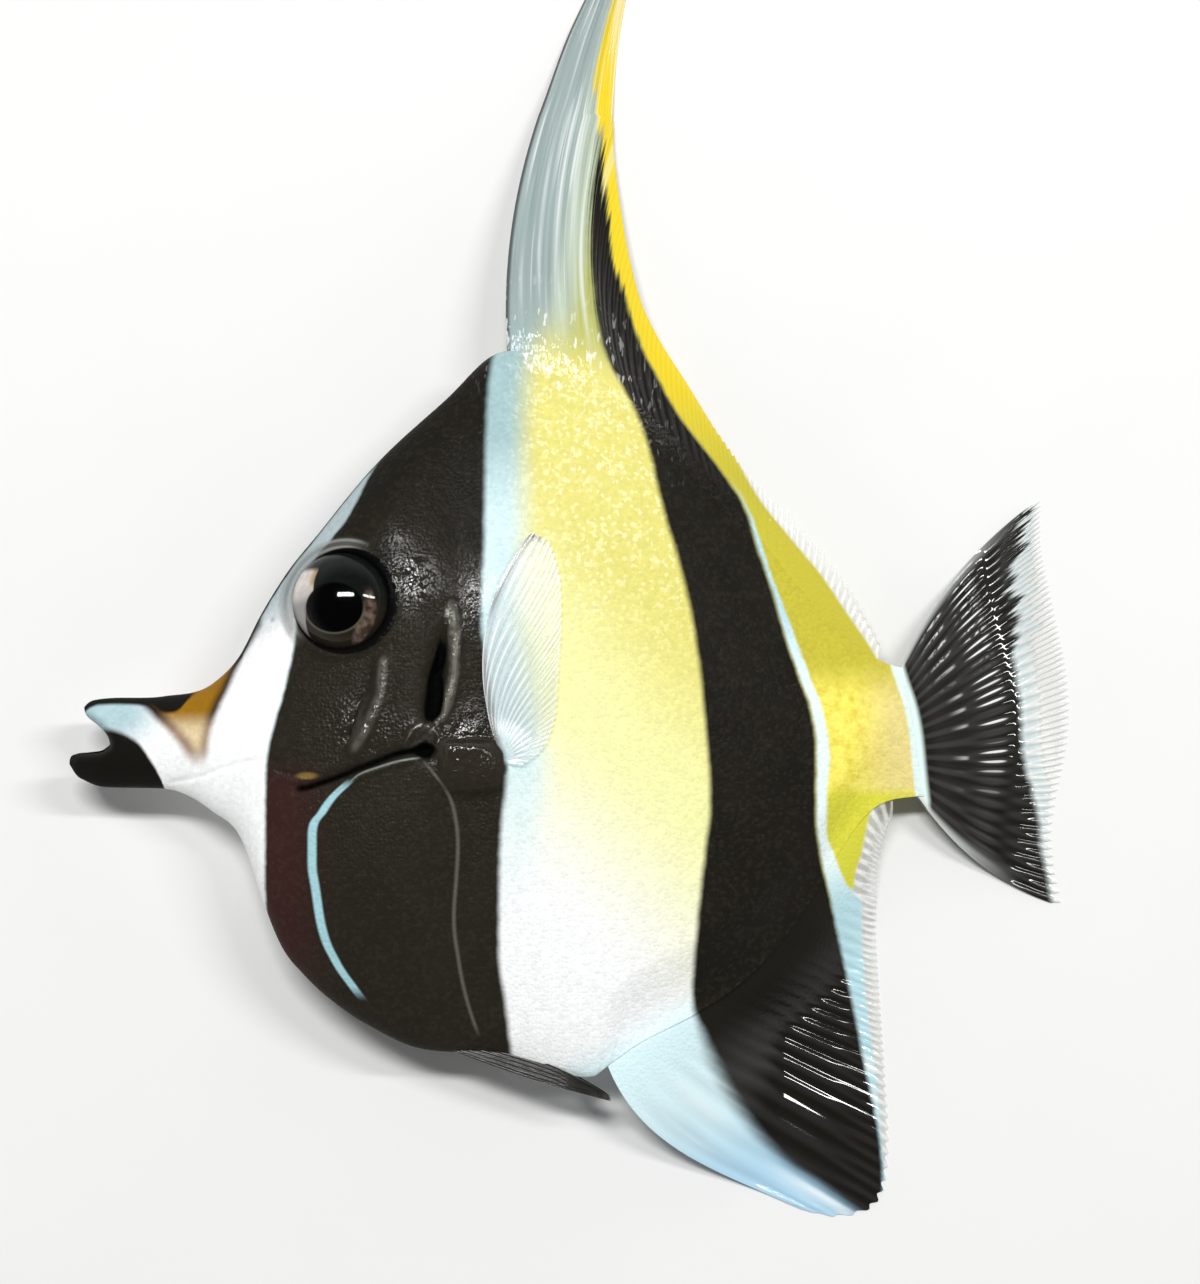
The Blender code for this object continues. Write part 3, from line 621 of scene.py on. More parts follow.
def fieldColour(x, y, patchy):
    # the pale ground of the flank and of the fins in front of the rear band
    upper = scaled(patchy, 5.0, scaled(x, 1.1, y))
    colour = mix((upper, 56.0, 73.0), marks["yellowMid"], marks["yellowUp"])
    colour = paint(colour, marks["white"], (scaled(x, 0.9, y), 45.0, 24.0))
    colour = paint(colour, marks["khaki"], (scaled(x, 0.35, y), 49.0, 54.0))
    patchyY = scaled(patchy, 4.0, y)
    strip = mix((patchyY, 31.0, 22.0), marks["stripBlue"], marks["stripPale"])
    behindFront = pastLine(marks["frontBandRear"], x, y)
    colour = paint(colour, strip, (behindFront, 4.8, 1.6), (y, -16.0, 4.0))
    along = scaled(calc("MINIMUM", y, 58.0), -0.16, x)
    dorsal = mix((along, 33.4, 35.6), marks["finGrey"], marks["finGreen"])
    dorsal = paint(dorsal, marks["finOlive"], (along, 35.4, 37.6))
    colour = paint(colour, dorsal, (patchyY, 35.5, 43.0))
    anal = mix((scaled(x, -0.3, y), -44.0, -53.0), marks["analBlue"], marks["analDeep"])
    return paint(colour, anal, (scaled(x, -0.57, y), -48.0, -52.5))


def snoutColour(x, y):
    # the white cheek, the orange saddle with its brown borders, and the black edges of the jaws
    colour = mix((scaled(x, -0.6, y), -0.5, 4.0), marks["white"], marks["snoutShade"])
    colour = paint(colour, marks["lipBlue"], (x, 9.0, 5.0), (y, 0.8, 4.0))
    front, rear = (pastLine(marks[name], x, y) for name in ("saddleFront", "saddleRear"))
    rich = step(y, 2.6, 4.8)
    border = mix(rich, marks["saddleFaint"], marks["saddleBrown"])
    inner = mix(rich, marks["saddlePale"], marks["saddle"])
    saddle = paint(border, inner, (front, 0.1, 1.3), (rear, 0.0, -1.1))
    colour = paint(colour, saddle, (front, -1.1, 0.1), (rear, 0.6, -0.3), (y, -0.6, 1.6))
    under = minus(edgeOf(x, marks["backTop"]), y)
    pastTop = minus(under, edgeOf(x, marks["topDark"]))
    onSaddle = times((x, 10.2, 11.2), (x, 14.5, 13.6))
    colour = paint(colour, marks["black"], (pastTop, 0.25, -0.15), minus(1.0, onSaddle))
    jaw = minus(edgeOf(x, marks["jawTop"]), y)
    return paint(colour, marks["black"], (jaw, -0.3, 0.35), (x, 8.6, 8.0))


def markingsGroup():
    # the bands and lines that cross the body and its middle fins
    # Straighten undoes the bend of the streamer, and Shift moves only the bands
    inputs = [("Straighten", "Float", 0.0), ("Shift", "Float", 0.0)]
    group, given, out = newGroup("markings", inputs, [("Color", "Color"), ("Dark", "Float")])
    place, plainX, y = planSpot()
    wander = scaled(noise(place, 0.9, 3.0), 0.24, -0.12)
    bodyX = calc("ADD", calc("ADD", plainX, wander), given.outputs["Straighten"])
    x = calc("ADD", bodyX, given.outputs["Shift"])
    patchy = noise(place, 0.22, 4.0)

    def past(name, soft):
        return step(pastLine(marks[name], x, y), -soft, soft)

    colour = fieldColour(bodyX, y, patchy)
    # behind the rear band: the dorsal fin's gold and olive margin, a mottled yellow stem, the anal fin's end
    behindRear = past("rearBandRear", 0.3)
    rear = mix((y, 24.0, 36.0), marks["rearOlive"], marks["rearGold"])
    stem = mix((noise(place, 1.1, 4.0), 0.25, 0.62), marks["stemOlive"], marks["stemYellow"])
    stem = paint(stem, marks["stemTan"], (bodyX, 66.5, 71.5))
    rear = paint(rear, stem, (y, 10.0, 5.5))
    rear = paint(rear, marks["analYellow"], (y, -1.0, -2.4))
    analEnd = mix((y, -14.0, -22.0), marks["lineBlue"], marks["stripPale"])
    rear = paint(rear, analEnd, (y, -9.6, -11.2))
    colour = paint(colour, rear, behindRear)
    # the blue line along the rear band
    line = mix((y, 15.0, 6.0), marks["lineBlue"], marks["lineWhite"])
    line = paint(line, marks["lineBlue"], (y, -7.0, -12.0))
    inLine = minus(1.0, past("blueLineRear", 0.2))
    colour = paint(colour, line, inLine, (y, 26.0, 21.0), behindRear)
    # the rear band, whose front edge is soft on the anal fin
    soft = scaled(step(y, -19.0, -26.0), 0.9, 0.35)
    gap = pastLine(marks["rearBandFront"], x, y)
    rearBand = times((gap, minus(0.0, soft), soft), minus(1.0, behindRear))
    warm = times((y, 26.0, 8.0), (bodyX, 44.0, 36.0), 0.5)
    dark = mix(scaled(patchy, 0.5, warm), marks["black"], marks["blackWarm"])
    colour = paint(colour, dark, rearBand)
    # the snout, and the front band, which is redder at the throat
    pastSnout = past("frontBandFront", 0.22)
    colour = paint(colour, snoutColour(bodyX, y), minus(1.0, pastSnout))
    frontBand = times(pastSnout, minus(1.0, past("frontBandRear", 0.35)))
    throat = paint(dark, marks["maroon"], (bodyX, 24.0, 18.5), (y, 1.5, -2.5))
    colour = paint(colour, throat, frontBand)
    # the chest's blue line and grey line, the groove's pale lip, the pit's glint and the gold fleck
    for name, tone, wide in (("chestLine", "chestBlue", 0.36), ("throatLine", "ridgePale", 0.14)):
        colour = paint(colour, marks[tone], lineMask(marks[name], plainX, y, wide, 0.14))
    groove = lineMask(marks["grooveLip"], y, plainX, 0.07, 0.08)
    colour = paint(colour, marks["groovePale"], groove, 0.8)
    glint = lineMask(marks["loopGlint"], y, plainX, 0.05, 0.07)
    colour = paint(colour, marks["glint"], glint, (noise(place, 2.2, 1.0), 0.42, 0.55), 0.9)
    fleck = [scaled(at, by, -middle * by) for at, middle, by in ((plainX, 20.7, 0.8), (y, -0.85, 2.4))]
    colour = paint(colour, marks["gold"], (farOf(*fleck), 1.0, 0.3))
    feed(out, {"Color": colour, "Dark": larger(frontBand, rearBand)})
    return group


markings = markingsGroup()


def scaleGrainGroup():
    # the tiny rough scales: their height, and a tint that differs from scale to scale
    outputs = [("Height", "Float"), ("Tint", "Float")]
    group, given, out = newGroup("scaleGrain", [("Size", "Float", 0.3)], outputs)
    place = planSpot()[0]
    scale = calc("DIVIDE", 1.0, given.outputs["Size"])
    cells = nodeOf("TexVoronoi", {"Vector": place, "Scale": scale, "Randomness": 0.85}).outputs
    fine = noise(place, calc("MULTIPLY", scale, 2.2))
    height = minus(calc("MULTIPLY", fine, 0.7), cells["Distance"])
    feed(out, {"Height": height, "Tint": nodeOf("SeparateColor", {0: cells["Color"]}).outputs[0]})
    return group


scaleGrain = scaleGrainGroup()

# The wet film: threads of painted highlight, its glints, and a crinkled surface where the film lies
film = {"tone": (0.98, 0.98, 0.96), "cover": 0.75, "crinkle": 7.0, "bump": 0.00005, "coatRoughness": 0.06}


# threads of painted highlight: the glints of the wet film, laid into the colour
def paintedWetGlints(colour, place, scale, *masks):
    return paint(colour, film["tone"], (streaks(place, scale), 0.6, 0.66), *masks, film["cover"])


def wetBump(shader, height, wet, place, scale):
    crinkled = calc("MULTIPLY", streaks(place, scale, 3.0), film["crinkle"])
    feeds = {"Height": mix(wet, height, crinkled), "Distance": film["bump"], "Strength": 1.0}
    bump = nodeOf("Bump", feeds).outputs[0]
    feed(shader, {"Normal": bump, "Coat Normal": bump})


skinTones = {
    "scaleSize": 0.32, "pale": (0.98, 0.98, 0.80), "speck": (0.055, 0.048, 0.034),
    "ridgeTop": (0.20, 0.20, 0.155), "deep": (0.0008, 0.001, 0.001), "lidHighlight": (0.42, 0.44, 0.42),
    "socket": (0.002, 0.002, 0.002),
}


def aroundEye(colour, x, y):
    # the grey lid in front of the eye, two arcs of painted highlight on its rims, and painted shadow in its
    # socket
    dx, dy = minus(x, eye["x"]), minus(y, eye["y"])
    far, upperFront = farOf(dx, dy), minus(calc("MULTIPLY", dy, 0.7), dx)
    colour = paint(colour, marks["rimGrey"], (far, 5.7, 5.0), (upperFront, 0.3, 3.0), 0.6)
    fromArc = [calc("ABSOLUTE", minus(far, relief[name]["radius"])) for name in ("rim", "rimOuter")]
    # two arcs of painted highlight along the lid's rims
    lidHighlights = larger(*(step(away, 0.2, 0.05) for away in fromArc))
    colour = paint(colour, skinTones["lidHighlight"], lidHighlights, (upperFront, 0.8, 3.0), 0.4)
    # painted shadow in the eye's socket
    return paint(colour, skinTones["socket"], (scaled(dx, -0.07, far), 4.62, 4.45))


def skinMaterial():
    made, shader = newMaterial("skinWet", Coat_Roughness=film["coatRoughness"], Specular_IOR_Level=0.03)
    shown = placeGroup(markings)
    grain = placeGroup(scaleGrain, {"Size": skinTones["scaleSize"]})
    place, x, y = planSpot()
    hollow, ridges, lobe, wet = (attributeOf(name) for name in ("hollow", "ridges", "lobe", "wet"))
    tint, onLobe = grain["Tint"], step(lobe, 0.1, 0.5)
    dark = larger(shown["Dark"], onLobe)
    colour = paint(shown["Color"], marks["blackWarm"], onLobe)
    # the pale bar and the black where the stem becomes the caudal fin
    pastBar = pastLine(marks["barFront"], x, y)
    bar = mix((pastBar, 0.9, 1.5), marks["barBlue"], marks["black"])
    colour = paint(colour, bar, (pastBar, -0.15, 0.2))
    # no two scales have quite the same tone
    shade = scaled(tint, 0.12, 0.94)
    colour = tinted(colour, nodeOf("CombineColor", {0: shade, 1: shade, 2: shade}).outputs[0])
    # pale flecks on some scales of the yellow flank are painted sparkle, light glinting off the scales
    onYellow = times((y, 6.0, 20.0), minus(1.0, dark), (x, 36.0, 41.0), (x, 60.0, 54.0))
    colour = paint(colour, skinTones["pale"], (tint, 0.72, 0.92), onYellow, 0.3)
    colour = paint(colour, skinTones["speck"], (tint, 0.55, 0.95), dark, 0.15)
    # the ridges of the black head are paler, partly their own colour and partly a painted highlight on their
    # tops, and its clefts are painted black, partly their own dark and partly painted shade
    blotched = scaled(step(noise(place, 1.5, 3.0), 0.3, 0.6), 0.5, 0.3)
    pale = mix((ridges, 0.3, 0.42), marks["ridgePale"], skinTones["ridgeTop"])
    colour = paint(colour, pale, (ridges, 0.06, 0.3), blotched, dark)
    # painted highlight: glinting threads of the wet film
    colour = paintedWetGlints(colour, place, (2.2, 0.8, 0.0), wet, (y, 18.0, 26.0))
    # clefts painted nearly black: partly the skin's own dark, partly painted shade in the recesses
    deep = step(hollow, 0.1, 0.55)
    colour = aroundEye(paint(colour, skinTones["deep"], deep), x, y)
    # only the wet film and the ridges are glossy
    shiny = larger(wet, times((ridges, 0.1, 0.3), 0.7))
    coat = times(scaled(shiny, 0.93, 0.06), minus(1.0, deep))
    feed(shader, {"Base Color": colour, "Roughness": scaled(tint, 0.2, 0.6), "Coat Weight": coat})
    height = times(grain["Height"], scaled(step(x, 16.0, 22.0), 0.75, 0.25))
    height = scaled(streaks(place, (1.1, 7.0, 1.0)), 0.5, height)
    wetBump(shader, height, wet, place, (1.2, 0.8, 0.0))
    return made


skinWet = skinMaterial()

skin = {
    "columns": 290, "rows": 164,
    # (share of the grid, x on the back line, x on the belly line)
    "stations": [
        (0.0, 1.2, 0.0), (0.25, 8.0, 8.0), (0.76, 33.4, 28.7), (0.95, 65.0, 65.2), (1.0, 71.6, 73.4),
    ],
    "mouthFades": 0.3,
    # rows lie closer at both edges, within a share of the height, and at the level of the mouth
    "edgeRows": (0.05, 0.1), "mouthRows": (0.7, 0.45, 0.07),
}


def rowShares(v):
    along = np.linspace(0.0, 1.0, 801)
    least, within = skin["edgeRows"]
    much, level, wide = skin["mouthRows"]
    spread = least + (1 - least) * ease(np.minimum(along, 1 - along) / within)
    density = spread / (1 + much * bell((along - level) / wide))
    far = np.concatenate([[0.0], np.cumsum((density[1:] + density[:-1]) / 2)])
    return np.interp(v, along, far / far[-1])


def awayFromGape(x, y):
    # how far each point near the mouth is from the gape's line
    lineX, lineY = routeAt(body["gape"][1:-1], np.linspace(0, 1, 60))
    best = np.full(x.shape, 9.0)
    near = x < 9.0
    for gapeX, gapeY in zip(lineX, lineY):
        best[near] = np.minimum(best[near], np.hypot(x[near] - gapeX, y[near] - gapeY))
    return best


def buildSkin():
    piece, u, v, side = sheetPair("skin", skin["columns"], skin["rows"])
    backX, bellyX = curveAt(skin["stations"], u, 1), curveAt(skin["stations"], u, 2)
    backY, bellyY = curveAt(body["backLine"], backX), curveAt(body["bellyLine"], bellyX)
    share = rowShares(v)
    x, y = bellyX + (backX - bellyX) * share, bellyY + (backY - bellyY) * share
    # in front the sheet is drawn back to the gape
    gapeX, gapeY = routeAt(body["gape"], share)
    ends = [(body["gape"][0][i], body["gape"][-1][i]) for i in (0, 1)]
    straightX, straightY = (low + (high - low) * share for low, high in ends)
    pull = 1 - ease(u / skin["mouthFades"])
    x, y = x + pull * (gapeX - straightX), y + pull * (gapeY - straightY)
    rise, shown = reliefAt(x, y)
    lip = np.clip(awayFromGape(x, y) / body["lipRound"], 0.0, 1.0)
    half = thicknessAt(x, y) * np.sqrt(np.maximum(1 - (1 - lip) ** 2, 0.03))
    placeVertices(piece, x, y, np.maximum(middleAt(x) + side * (half + rise), 0.0))
    for name, values in shown.items():
        putAttribute(piece, name, values)
    nodes = ("head", "torso", "tail_stem", "upper_jaw", "lower_jaw", "gill_cover_left", "gill_cover_right")
    dress(piece, skinWet, "skin", *nodes)


buildSkin()

# Fins. Every margin point is (share along the root, x, y); heights and thicknesses are halves
fins = {
    "membrane": 0.10, "tip": 0.07,
    "dorsal": {
        "columns": 368, "rows": 310, "finRows": 110, "streamerShare": 103 / 368, "rays": 47, "fork": 0.6,
        "ridge": 0.05, "root": (37.2, 69.8), "sink": 1.8, "reach": 34.0, "fillet": (0.53, 4.5), "bend": 0.05,
        "frays": 0.05, "fraysFrom": (0.6, 0.15), "bandBend": (0.08, 0.42, 0.14),
        "margin": [
            (0.0, 39.6, 58.0), (0.14, 42.85, 58.0), (0.28, 46.1, 58.0), (0.33, 46.3, 54.4),
            (0.38, 46.9, 49.5), (0.43, 47.7, 44.9), (0.48, 48.8, 40.8), (0.53, 50.4, 37.5),
            (0.58, 52.4, 34.3), (0.66, 55.3, 29.7), (0.73, 58.1, 26.0), (0.83, 62.5, 21.6),
            (0.92, 66.9, 16.2), (1.0, 69.8, 10.9),
        ],
        "path": [
            (42.85, 58.0), (44.4, 65.0), (45.6, 69.0), (49.6, 79.5), (55.6, 91.0), (64.0, 104.0),
            (74.0, 116.5),
        ],
        "width": [(0.0, 6.5), (0.11, 4.5), (0.17, 3.4), (0.35, 2.4), (0.6, 1.7), (1.0, 0.7)],
        "clearFrom": [
            (9.4, 69.6), (10.9, 68.7), (13.8, 66.7), (17.3, 64.3), (20.5, 61.6), (24.1, 58.8), (29.7, 55.9),
            (34.0, 53.6), (40.0, 51.0),
        ],
    },
    "anal": {
        "columns": 340, "rows": 100, "rays": 30, "fork": 0.72, "ridge": 0.075, "root": (46.6, 71.0),
        "sink": 1.8, "reach": (20.0, 9.5), "fillet": (0.53, 4.0), "bend": 10.1, "frays": 0.015,
        "margin": [
            (0.0, 63.4, -38.1), (0.03, 66.3, -38.6), (0.06, 69.0, -38.0), (0.10, 70.4, -36.0),
            (0.17, 70.8, -31.5), (0.262, 70.5, -26.6), (0.42, 70.1, -20.6), (0.55, 69.8, -16.2),
            (0.70, 69.6, -11.0), (0.87, 69.9, -6.6), (1.0, 70.8, -4.0),
        ],
        "clearFrom": [
            (-38.6, 71.2), (-33.0, 70.3), (-28.2, 69.9), (-23.0, 69.2), (-18.4, 68.7), (-14.4, 68.4),
            (-11.3, 68.2), (-10.2, 67.5), (-7.0, 68.1), (-3.5, 68.8), (-1.6, 69.4),
        ],
    },
    "caudal": {
        "columns": 336, "rows": 90, "rays": 17, "fork": 0.3, "ridge": 0.10, "sink": 1.0, "reach": 13.0,
        "fillet": (0.42, 2.0), "root": ((72.1, 8.4), (73.7, -1.8)), "frays": 0.06, "bend": 1.4,
        "margin": [
            (0.0, 84.2, 24.4), (0.12, 84.2, 21.0), (0.25, 84.8, 17.4), (0.40, 85.8, 12.6), (0.50, 86.4, 9.6),
            (0.60, 86.7, 5.8), (0.70, 86.4, 2.0), (0.80, 85.6, -1.8), (0.88, 85.1, -5.6), (0.94, 85.4, -8.4),
            (1.0, 86.0, -11.6),
        ],
        "blackEnd": [
            (-12.0, 85.3), (-9.3, 84.9), (-6.8, 84.4), (-4.3, 84.1), (-1.3, 83.5), (1.9, 82.7), (6.8, 82.4),
            (10.8, 82.0), (14.6, 82.1), (20.2, 82.7), (24.4, 83.5),
        ],
    },
    "pectoral": {
        "columns": 180, "rows": 80, "rays": 19, "fork": 0.5, "bow": 2.5,
        "root": [(36.6, 1.9), (37.1, 1.2), (37.3, 0.4)],
        "margin": [
            (0.0, 39.4, 19.9), (0.08, 40.7, 19.3), (0.16, 41.4, 17.9), (0.28, 41.95, 15.0),
            (0.42, 42.0, 11.4), (0.56, 41.8, 8.5), (0.68, 41.65, 5.4), (0.80, 41.2, 3.0), (0.90, 40.2, 1.2),
            (1.0, 38.6, 0.1),
        ],
        "half": 0.06, "ridge": 0.025, "lift": (0.3, 0.25, 0.35), "frays": 0.02,
    },
    "pelvic": {
        "columns": 40, "rows": 90, "rays": 6, "fork": 0.6, "ridge": 0.08, "root": (29.9, 32.4), "sink": 1.0,
        "fillet": (0.35, 1.6), "frays": 0.02, "bend": 1.3, "apart": (0.48, 1.15),
        "margin": [(0.0, 46.5, -28.15), (0.5, 46.4, -27.85), (1.0, 45.9, -27.5)],
    },
}


def rayRidge(r, v, rays, fork):
    # 1 on a ray and 0 between two; past the fork each ray is two
    turn = r * (rays - 1)
    single, double = np.cos(np.pi * turn) ** 2, np.sin(2 * np.pi * turn) ** 2
    split = ease((v - fork) / 0.25)
    return single * (1 - split) + double * split


def finHalf(part, ridge, v, far, tapers=1.0):
    # half the thickness: raised at the rays, thick at the root and thin at the tip
    raised = ease((far - 1.0) / 5.0) * (1 - 0.5 * ease((v - 0.7) / 0.3))
    thick, over = part["fillet"]
    half = fins["membrane"] + part["ridge"] * ridge * raised + thick * bell(np.maximum(far, 0.0) / over)
    return half + (fins["tip"] - half) * ease((v - 0.93) / 0.07) * tapers


def laidAt(rootHeight, far, reach, half, side):
    # height of a fin that sinks from its root to the floor within its reach
    centre = half + (rootHeight - half) * (1 - ease(far / reach))
    return centre + side * half


def fanOut(part, r, v, rootX, rootY, bend, ridge):
    # plan place of each point of a fin, and how far it is from the root
    endX, endY = curveAt(part["margin"], r, 1), curveAt(part["margin"], r, 2)
    length = np.hypot(endX - rootX, endY - rootY)
    reach = v * (1 - part["frays"] * (1 - ridge) * ease((v - 0.85) / 0.15))
    aheadX, aheadY = (endX - rootX) / length, (endY - rootY) / length
    far, bow = reach * length, bend(reach, length)
    return rootX + aheadX * far - aheadY * bow, rootY + aheadY * far + aheadX * bow, far


def finish(piece, r, v, ridge, material, slotName, *nodes, **more):
    # free is 0 where the fin is still part of the flank, and 1 where its rays show
    putUv(piece, r, v)
    for name, values in {"ridge": ridge, **more}.items():
        putAttribute(piece, name, values + 0 * r)
    dress(piece, material, slotName, *nodes)


finTones = {
    "streamer": (0.74, 0.78, 0.76), "shade": (0.62, 0.64, 0.68), "pale": (0.92, 0.96, 0.94),
    "lead": (0.05, 0.045, 0.05), "groove": (0.4, 0.4, 0.4), "darkRay": (0.028, 0.028, 0.030),
    "clear": (0.80, 0.81, 0.77), "clearRay": (0.96, 0.97, 0.94),
}


def finMaterial(name, part, flames, lead):
    # a wet fin: the body's markings, streaked along the rays, clear at its fringe, and dark where it leads
    made, shader = newMaterial(name, Coat_Roughness=film["coatRoughness"], Specular_IOR_Level=0.04)
    place, x, y = planSpot()
    uv, across, _, ridge = rayPlace()
    free, straighten, wet = (attributeOf(key) for key in ("free", "straighten", "wet"))
    fine = streaks(uv, (part["rays"] * 1.6, 1.6, 1.0))
    broad = streaks(uv, (part["rays"] * 0.8, 0.9, 1.0))
    licks = times(scaled(fine, 2.0, -1.0), flames, (y, 35.0, 45.0))
    shown = placeGroup(markings, {"Straighten": straighten, "Shift": licks})
    dark = shown["Dark"]
    colour = paint(shown["Color"], finTones["streamer"], (y, 64.0, 86.0), 0.85)
    front = times((across, 0.4, 0.25), minus(1.0, dark), free)
    colour = paint(colour, tinted(colour, finTones["shade"]), (broad, 0.5, 0.32), front, 0.5)
    colour = paint(colour, finTones["pale"], (broad, 0.5, 0.68), front, 0.5)
    colour = paint(colour, finTones["pale"], (fine, 0.58, 0.7), front, 0.4)
    colour = paint(colour, finTones["lead"], (across, 0.016, 0.005), lead)
    # painted shade in the grooves between the rays
    grooveShade = times((ridge, 0.6, 0.0), free, scaled(dark, 0.35, 0.13))
    colour = paint(colour, tinted(colour, finTones["groove"]), grooveShade)
    colour = paint(colour, finTones["darkRay"], (ridge, 0.4, 1.0), dark, free, 0.5)
    pastClear = pastLine(part["clearFrom"], x, y)
    clear = times((pastClear, -0.25, 0.25), (y, 70.0, 64.0))
    colour = paint(colour, mix(ridge, finTones["clear"], finTones["clearRay"]), clear)
    # painted highlight: glinting threads of the wet film
    colour = paintedWetGlints(colour, place, (2.2, 0.55, 0.0), wet)
    thinness = scaled(step(pastClear, 0.3, 1.2), 0.3, 0.62)
    thinness = scaled(step(ridge, 0.3, 0.9), -0.4, thinness)
    notDry = minus(1.0, times((y, 42.0, 50.0), 0.96))
    coat = larger(times(scaled(free, 0.9, 0.05), notDry), wet)
    feed(shader, {
        "Base Color": colour, "Roughness": scaled(fine, 0.2, 0.5),
        "Alpha": minus(1.0, times(clear, thinness)),
        "Coat Weight": times(coat, minus(1.0, times(clear, 0.7))),
    })
    grain = placeGroup(scaleGrain, {"Size": skinTones["scaleSize"]})["Height"]
    height = mix(free, grain, calc("MULTIPLY", fine, 0.35))
    wetBump(shader, height, wet, place, (1.7, 0.7, 0.0))
    return made


def buildDorsal():
    # the fin and its streamer are one sheet: the front columns run on past the fin's top
    part = fins["dorsal"]
    top, share = part["finRows"] / part["rows"], part["streamerShare"]
    dropped = lambda u, v: (u > share + 1e-4) & (v > top + 1e-4)
    piece, r, rows, side = sheetPair("dorsalFin", part["columns"], part["rows"], dropped)
    v, s = np.minimum(rows / top, 1.0), np.clip((rows - top) / (1 - top), 0.0, 1.0)
    ridge = rayRidge(r, v, part["rays"], part["fork"])
    rootX, rootY = outlineAt("backLine", part["root"], r, -part["sink"])
    start, over = part["fraysFrom"]
    frayed = dict(part, frays=part["frays"] * ease((r - start) / over))
    more, middle, wide = part["bandBend"]
    bent = part["bend"] + more * bell((r - middle) / wide)
    x, y, far = fanOut(frayed, r, v, rootX, rootY, lambda v, length: 4 * v * (1 - v) * bent * length, ridge)
    tapers = ease((r - share) / 0.03)
    half = finHalf(part, ridge, v, far - part["sink"], tapers)
    # the streamer
    on = s > 0
    middleX, middleY = routeAt(part["path"], s)
    aheadX, aheadY = routeAt(part["path"], np.minimum(s + 0.01, 1.0))
    backX, backY = routeAt(part["path"], np.maximum(s - 0.01, 0.0))
    size = np.hypot(aheadX - backX, aheadY - backY)
    level = ease(s / 0.12)
    acrossX = (aheadY - backY) / size * level + 1 - level
    acrossY = -(aheadX - backX) / size * level
    wide, off = curveAt(part["width"], s), r / share - 0.5
    x = np.where(on, middleX + acrossX * off * wide, x)
    y = np.where(on, middleY + acrossY * off * wide, y)
    length = np.hypot(*np.diff(np.array(part["path"]), axis=0).T).sum()
    far = np.where(on, far + s * length, far)
    dome = np.sqrt(np.maximum(1 - np.minimum(2 * abs(off), 1.0) ** 2, 0.0))
    half = np.where(on, half * (1 - 0.45 * s) + 0.1 * dome * ease(s / 0.3) * (1 - 0.5 * s), half)
    placeVertices(piece, x, y, laidAt(middleAt(rootX), far, part["reach"], half, side))
    material = finMaterial("dorsalWet", part, 1.1, 0.85)
    free = ease((far - part["sink"] - 1.0) / 8.0) * ease((0.75 - r) / 0.2)
    free = np.maximum(free, ease((v - 0.72) / 0.12) * (s == 0))
    straighten = np.where(on, part["path"][0][0] + off * part["width"][0][1] - x, 0.0)
    nodes = ("dorsal_fin", "dorsal_streamer_base", "dorsal_streamer_tip")
    shown = {"free": free, "straighten": straighten, "wet": wetAt(x, y)}
    finish(piece, r, v + 3.0 * s, ridge, material, "fin", *nodes, **shown)


def buildAnal():
    part = fins["anal"]
    piece, u, v, side = sheetPair("analFin", part["columns"], part["rows"])
    r = u ** 1.35
    ridge = rayRidge(r, v, part["rays"], part["fork"])
    rootX, rootY = outlineAt("bellyLine", part["root"], r, -part["sink"])
    bend = lambda v, length: -part["bend"] * v * (1 - v) * (1.6 - v) * np.exp(-r / 0.09)
    x, y, far = fanOut(part, r, v, rootX, rootY, bend, ridge)
    half = finHalf(part, ridge, v, far - part["sink"])
    first, last = part["reach"]
    reach = first + (last - first) * ease(r / 0.3)
    placeVertices(piece, x, y, laidAt(middleAt(rootX), far, reach, half, side))
    free = ease((far - part["sink"] - 2.0) / 7.0)
    finish(piece, r, v, ridge, finMaterial("analWet", part, 0.0, 0.0), "fin", "anal_fin", free=free)


buildDorsal()
buildAnal()


caudalTones = {
    "black": (0.004, 0.004, 0.003), "greyBlack": (0.020, 0.018, 0.015), "ray": (0.045, 0.044, 0.040),
    "glint": (0.85, 0.86, 0.84), "edge": (0.62, 0.64, 0.60), "band": (0.70, 0.80, 0.80),
    "bandRay": (0.93, 0.95, 0.93),
    "fringe": (0.86, 0.86, 0.81), "fringeRay": (0.98, 0.98, 0.95),
}


